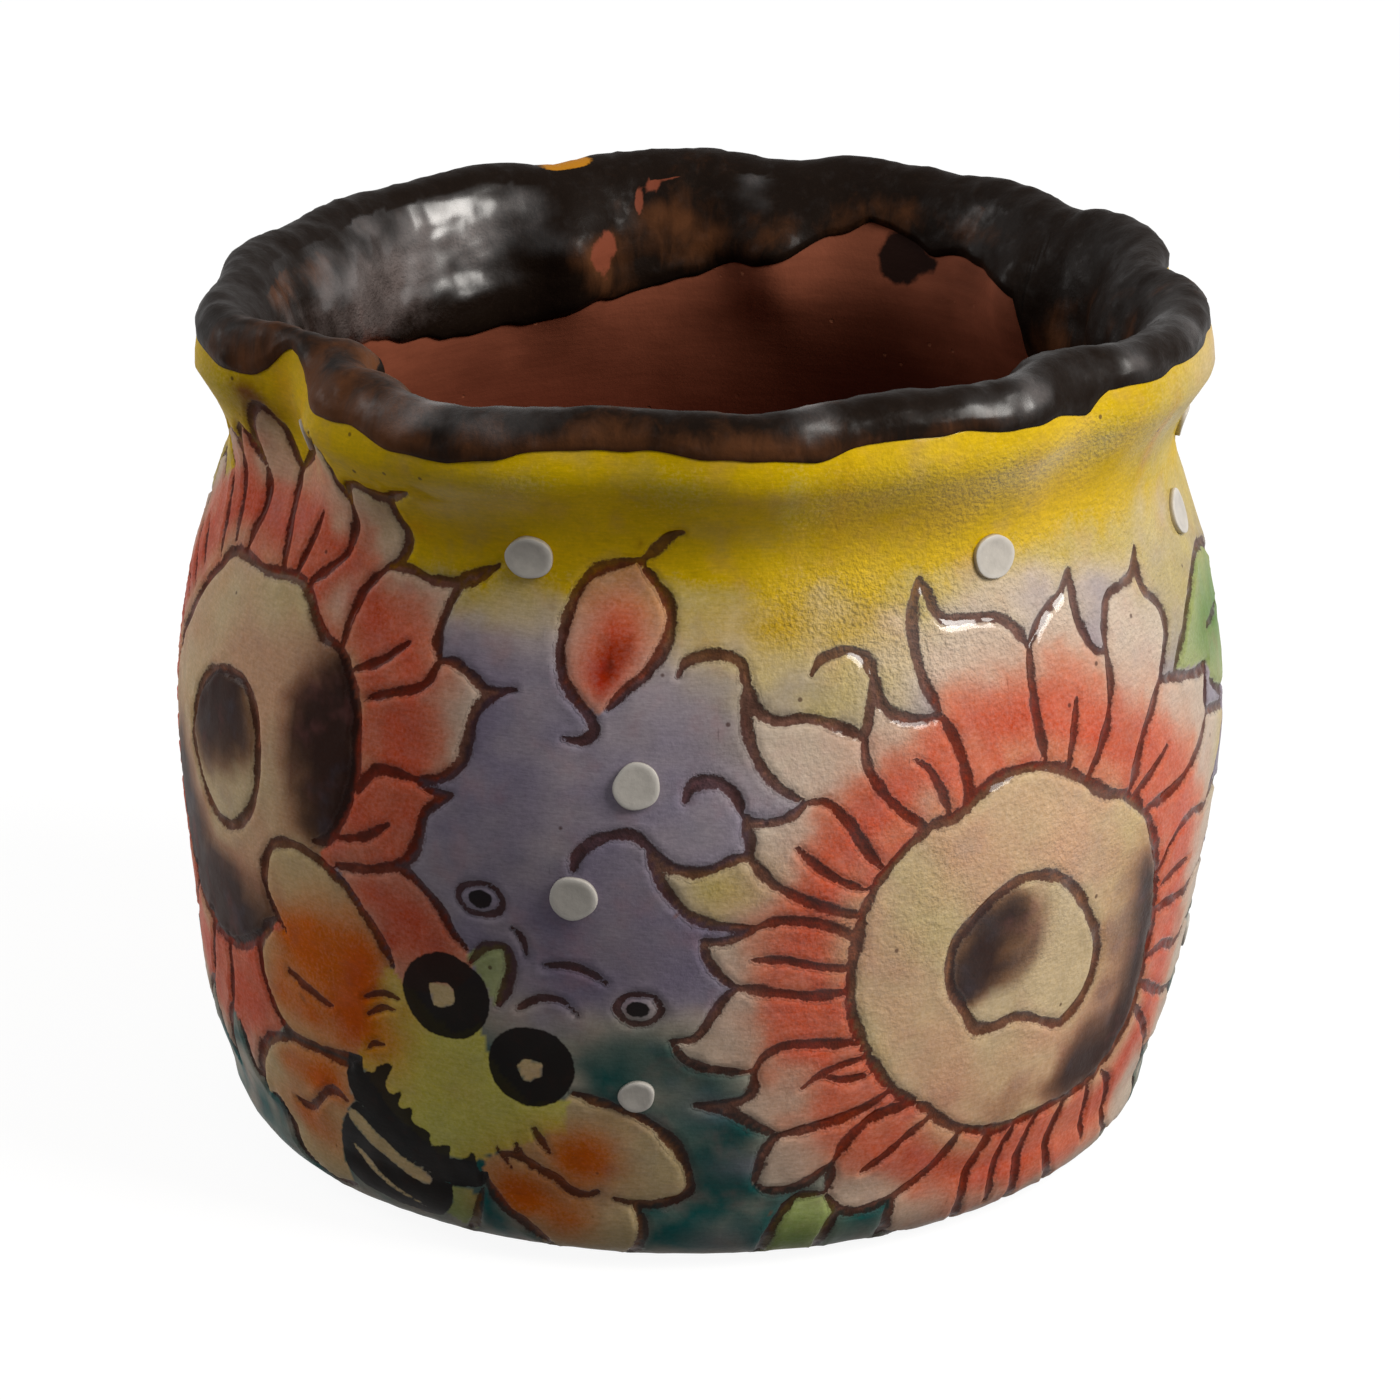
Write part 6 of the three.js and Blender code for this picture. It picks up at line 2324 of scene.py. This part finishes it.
@dataclass
class SlipDots:
    """Raised dots of white slip.

    Attributes:
        form: the body under them.
        spots: their places.
        rise: height of a dot.
        sides: sides of a dot's outline.
    """

    form: PotForm
    spots: tuple[DotSpot, ...] = (
        DotSpot(-53.5, 84.2, 1.9), DotSpot(-19.5, 77.6, 2.5), DotSpot(35.5, 75.5, 2.5), DotSpot(75, 71.2, 2.5),
        DotSpot(81, 79.8, 1.9), DotSpot(107, 75.7, 2.5), DotSpot(148, 78.2, 2.5), DotSpot(189, 76.7, 2.5),
        DotSpot(228, 78.4, 2.5), DotSpot(-6.5, 56, 2.5), DotSpot(-13, 44, 2.5), DotSpot(-6, 22, 1.9),
        DotSpot(88, 20, 1.9), DotSpot(166.5, 62, 2.5), DotSpot(165, 19, 1.9), DotSpot(253, 62, 2.5),
        DotSpot(254, 14, 1.9),
    )
    rise: float = 0.56
    sides: int = 40

    def build(self) -> list[bpy.types.Object]:
        """Builds and dresses every dot."""
        finish = WhiteSlip().material()
        return [self._dot(index, spot, finish) for index, spot in enumerate(self.spots, 1)]

    def _dot(self, index: int, spot: DotSpot, finish: bpy.types.Material) -> bpy.types.Object:
        """One dot: a disc raised, its edge rounded over and its face dished a little.

        Args:
            index: its number.
            spot: where it sits.
            finish: its material.

        Returns:
            The object.
        """
        random = np.random.default_rng(100 + index)
        net = bmesh.new()
        bmesh.ops.create_circle(net, cap_ends=True, radius=1.0, segments=self.sides)
        raised = bmesh.ops.extrude_face_region(net, geom=net.faces[:])
        top = [item for item in raised["geom"] if isinstance(item, bmesh.types.BMVert)]
        bmesh.ops.translate(net, verts=top, vec=(0, 0, 1))
        cap = [item for item in raised["geom"] if isinstance(item, bmesh.types.BMFace)]
        lip = [edge for face in cap for edge in face.edges]
        bmesh.ops.bevel(net, geom=lip, offset=0.2, segments=5, profile=0.5, affect="EDGES", material=-1)
        cap = [face for face in net.faces if len(face.verts) == self.sides and face.calc_center_median().z > 0.9]
        for inset in (0.12, 0.2, 0.2, 0.2):
            bmesh.ops.inset_region(net, faces=cap, thickness=inset)
            cap = [face for face in net.faces if len(face.verts) == self.sides and face.calc_center_median().z > 0.9]
        bmesh.ops.poke(net, faces=[face for face in net.faces if len(face.verts) == self.sides])
        bmesh.ops.recalc_face_normals(net, faces=net.faces[:])
        mesh = bpy.data.meshes.new("slip")
        net.to_mesh(mesh)
        net.free()
        flat = np.array([vertex.co[:] for vertex in mesh.vertices])
        reach, bearing = np.hypot(flat[:, 0], flat[:, 1]), np.arctan2(flat[:, 1], flat[:, 0])
        phases = random.uniform(0, 2 * math.pi, 3)
        outline = 1 + 0.035 * np.sin(2 * bearing + phases[0]) + 0.025 * np.sin(3 * bearing + phases[1]) + (
            0.012 * np.sin(5 * bearing + phases[2]))
        size = spot.radius * 0.95 * outline * reach
        height = np.where(flat[:, 2] > 0.5, flat[:, 2] * (0.86 + 0.14 * smoothstep(reach, 0.35, 0.8)), flat[:, 2])
        lean = 0.06 * (flat[:, 0] * math.cos(phases[0]) + flat[:, 1] * math.sin(phases[0]))
        centre_radius = float(self.form.section.at(self.form.section.on_wall(spot.height))[0])
        azimuth = spot.azimuth + np.degrees(size * np.cos(bearing) / centre_radius)
        travel = self.form.section.on_wall(spot.height) + size * np.sin(bearing)
        stand = 0.02 + self.rise * (height + lean * height)
        set_places(mesh, self.form.skin(azimuth, travel, stand))
        # Distance from the dot's middle on its top, used for the painted highlight ring near the rim.
        keep(mesh, "edge", np.where(flat[:, 2] > 0.2, reach, 1.0))
        mesh.materials.append(finish)
        number = f"{index:02d}"
        return add_piece(mesh, f"white_dot_{number}", [f"slip_dot_{number}"])


# Studio


@dataclass(frozen=True)
class Aim:
    """A direction from the pot: azimuth, elevation and distance."""

    azimuth: float
    elevation: float
    distance: float

    @property
    def direction(self) -> Vector:
        """Unit vector from the pot towards it."""
        turn, rise = math.radians(self.azimuth), math.radians(self.elevation)
        return Vector((math.cos(rise) * math.sin(turn), -math.cos(rise) * math.cos(turn), math.sin(rise)))


@dataclass(frozen=True)
class Studio:
    """Camera, lamps, floor and background.

    Attributes:
        target: height that the camera looks at.
        aim: how far below the target the picture's middle is, in pixels of a 1400 pixel picture.
        distance: distance of the camera from the target.
        elevation: camera's height in degrees.
        lens: focal length for the sensor.
        sensor: width of the sensor.
        picture: width of the picture in pixels.
    """

    target: float = 46.5
    aim: float = 7.4
    distance: float = 700.0
    elevation: float = 19.38
    lens: float = 167.17
    sensor: float = 36.0
    picture: int = 1400

    def build(self) -> None:
        """Builds the whole studio."""
        self._camera()
        self._floor()
        self._world()
        self._lamp("key_lamp", Aim(63, 37, 900), 430, 7.7, (1.0, 0.97, 0.92))
        self._lamp("left_lamp", Aim(-108, 24, 800), 420, 2.1, (1.0, 0.97, 0.95))
        scene = bpy.context.scene
        scene.view_settings.view_transform = "Standard"

    def _camera(self) -> None:
        """Looks at the pot from the photograph's side and height."""
        data = bpy.data.cameras.new("camera")
        data.lens, data.sensor_width = self.lens, self.sensor
        data.clip_start, data.clip_end = 0.05, 20
        camera = bpy.data.objects.new("camera", data)
        rise = math.radians(self.elevation)
        place = Vector((0, -math.cos(rise), math.sin(rise))) * self.distance + Vector((0, 0, self.target))
        focal = self.lens / self.sensor * self.picture
        tilt = math.atan(self.aim / focal)
        look = Vector((0, math.cos(rise + tilt), -math.sin(rise + tilt)))
        camera.location = place * MM
        camera.rotation_euler = look.to_track_quat("-Z", "Y").to_euler()
        bpy.context.scene.collection.objects.link(camera)
        bpy.context.scene.camera = camera

    def _lamp(self, name: str, aim: Aim, size: float, power: float, tint: Sequence[float]) -> None:
        """Adds one soft square lamp that faces the pot.

        Args:
            name: its name.
            aim: where it stands.
            size: width.
            power: watts.
            tint: its colour.
        """
        data = bpy.data.lights.new(name, "AREA")
        data.shape, data.size, data.energy, data.color = "SQUARE", size * MM, power, tint
        lamp = bpy.data.objects.new(name, data)
        way = aim.direction
        lamp.location = (way * aim.distance + Vector((0, 0, self.target))) * MM
        lamp.rotation_euler = (-way).to_track_quat("-Z", "Y").to_euler()
        bpy.context.scene.collection.objects.link(lamp)

    @staticmethod
    def _floor() -> None:
        """Wide pale floor that stays white to the camera and keeps a soft shadow."""
        net = bmesh.new()
        bmesh.ops.create_grid(net, x_segments=1, y_segments=1, size=3.0)
        mesh = bpy.data.meshes.new("floor")
        net.to_mesh(mesh)
        net.free()
        floor = bpy.data.objects.new("floor", mesh)
        bpy.context.scene.collection.objects.link(floor)
        recipe = Recipe("pale_floor", Roughness=1.0, Specular_IOR_Level=0.0, Base_Color=(0.16, 0.16, 0.16, 1))
        path = recipe.add("ShaderNodeLightPath", {}, {}).outputs
        seen = path["Is Camera Ray"]
        for other in ("Is Glossy Ray", "Is Transmission Ray"):
            seen = recipe.add("ShaderNodeMath", {"operation": "MAXIMUM"}, {0: seen, 1: path[other]}).outputs[0]
        plain = recipe.add("ShaderNodeBsdfDiffuse", {}, {"Color": (0.16, 0.16, 0.16, 1)})
        glow = recipe.add("ShaderNodeEmission", {}, {"Color": (1, 1, 1, 1), "Strength": 0.92})
        both = recipe.add("ShaderNodeAddShader", {}, {0: plain.outputs[0], 1: glow.outputs[0]})
        pick = recipe.add("ShaderNodeMixShader", {}, {0: seen, 1: recipe.shader.outputs[0], 2: both.outputs[0]})
        recipe.tree.links.new(pick.outputs[0], recipe.tree.nodes["Material Output"].inputs["Surface"])
        mesh.materials.append(recipe.material)

    @staticmethod
    def _world() -> None:
        """White to the camera, a dim even sky to everything else."""
        world = bpy.data.worlds.new("studio")
        bpy.context.scene.world = world
        world.use_nodes = True
        nodes, links = world.node_tree.nodes, world.node_tree.links
        sky = nodes["Background"]
        sky.inputs["Color"].default_value = (1, 1, 1, 1)
        sky.inputs["Strength"].default_value = 0.235
        white = nodes.new("ShaderNodeBackground")
        white.inputs["Strength"].default_value = 1.0
        path = nodes.new("ShaderNodeLightPath").outputs
        seen = path["Is Camera Ray"]
        for other in ("Is Glossy Ray", "Is Transmission Ray"):
            either = nodes.new("ShaderNodeMath")
            either.operation = "MAXIMUM"
            links.new(seen, either.inputs[0])
            links.new(path[other], either.inputs[1])
            seen = either.outputs[0]
        pick = nodes.new("ShaderNodeMixShader")
        links.new(seen, pick.inputs[0])
        links.new(sky.outputs[0], pick.inputs[1])
        links.new(white.outputs[0], pick.inputs[2])
        links.new(pick.outputs[0], nodes["World Output"].inputs["Surface"])


def main() -> None:
    """Builds every piece in order."""
    logging.basicConfig(level=logging.INFO, format="%(name)s: %(message)s")
    Studio().build()
    form = PotForm()
    ClayBody(form, Painting()).build()
    RimGlaze(form).build()
    SlipDots(form).build()


if __name__ == "__main__":
    main()
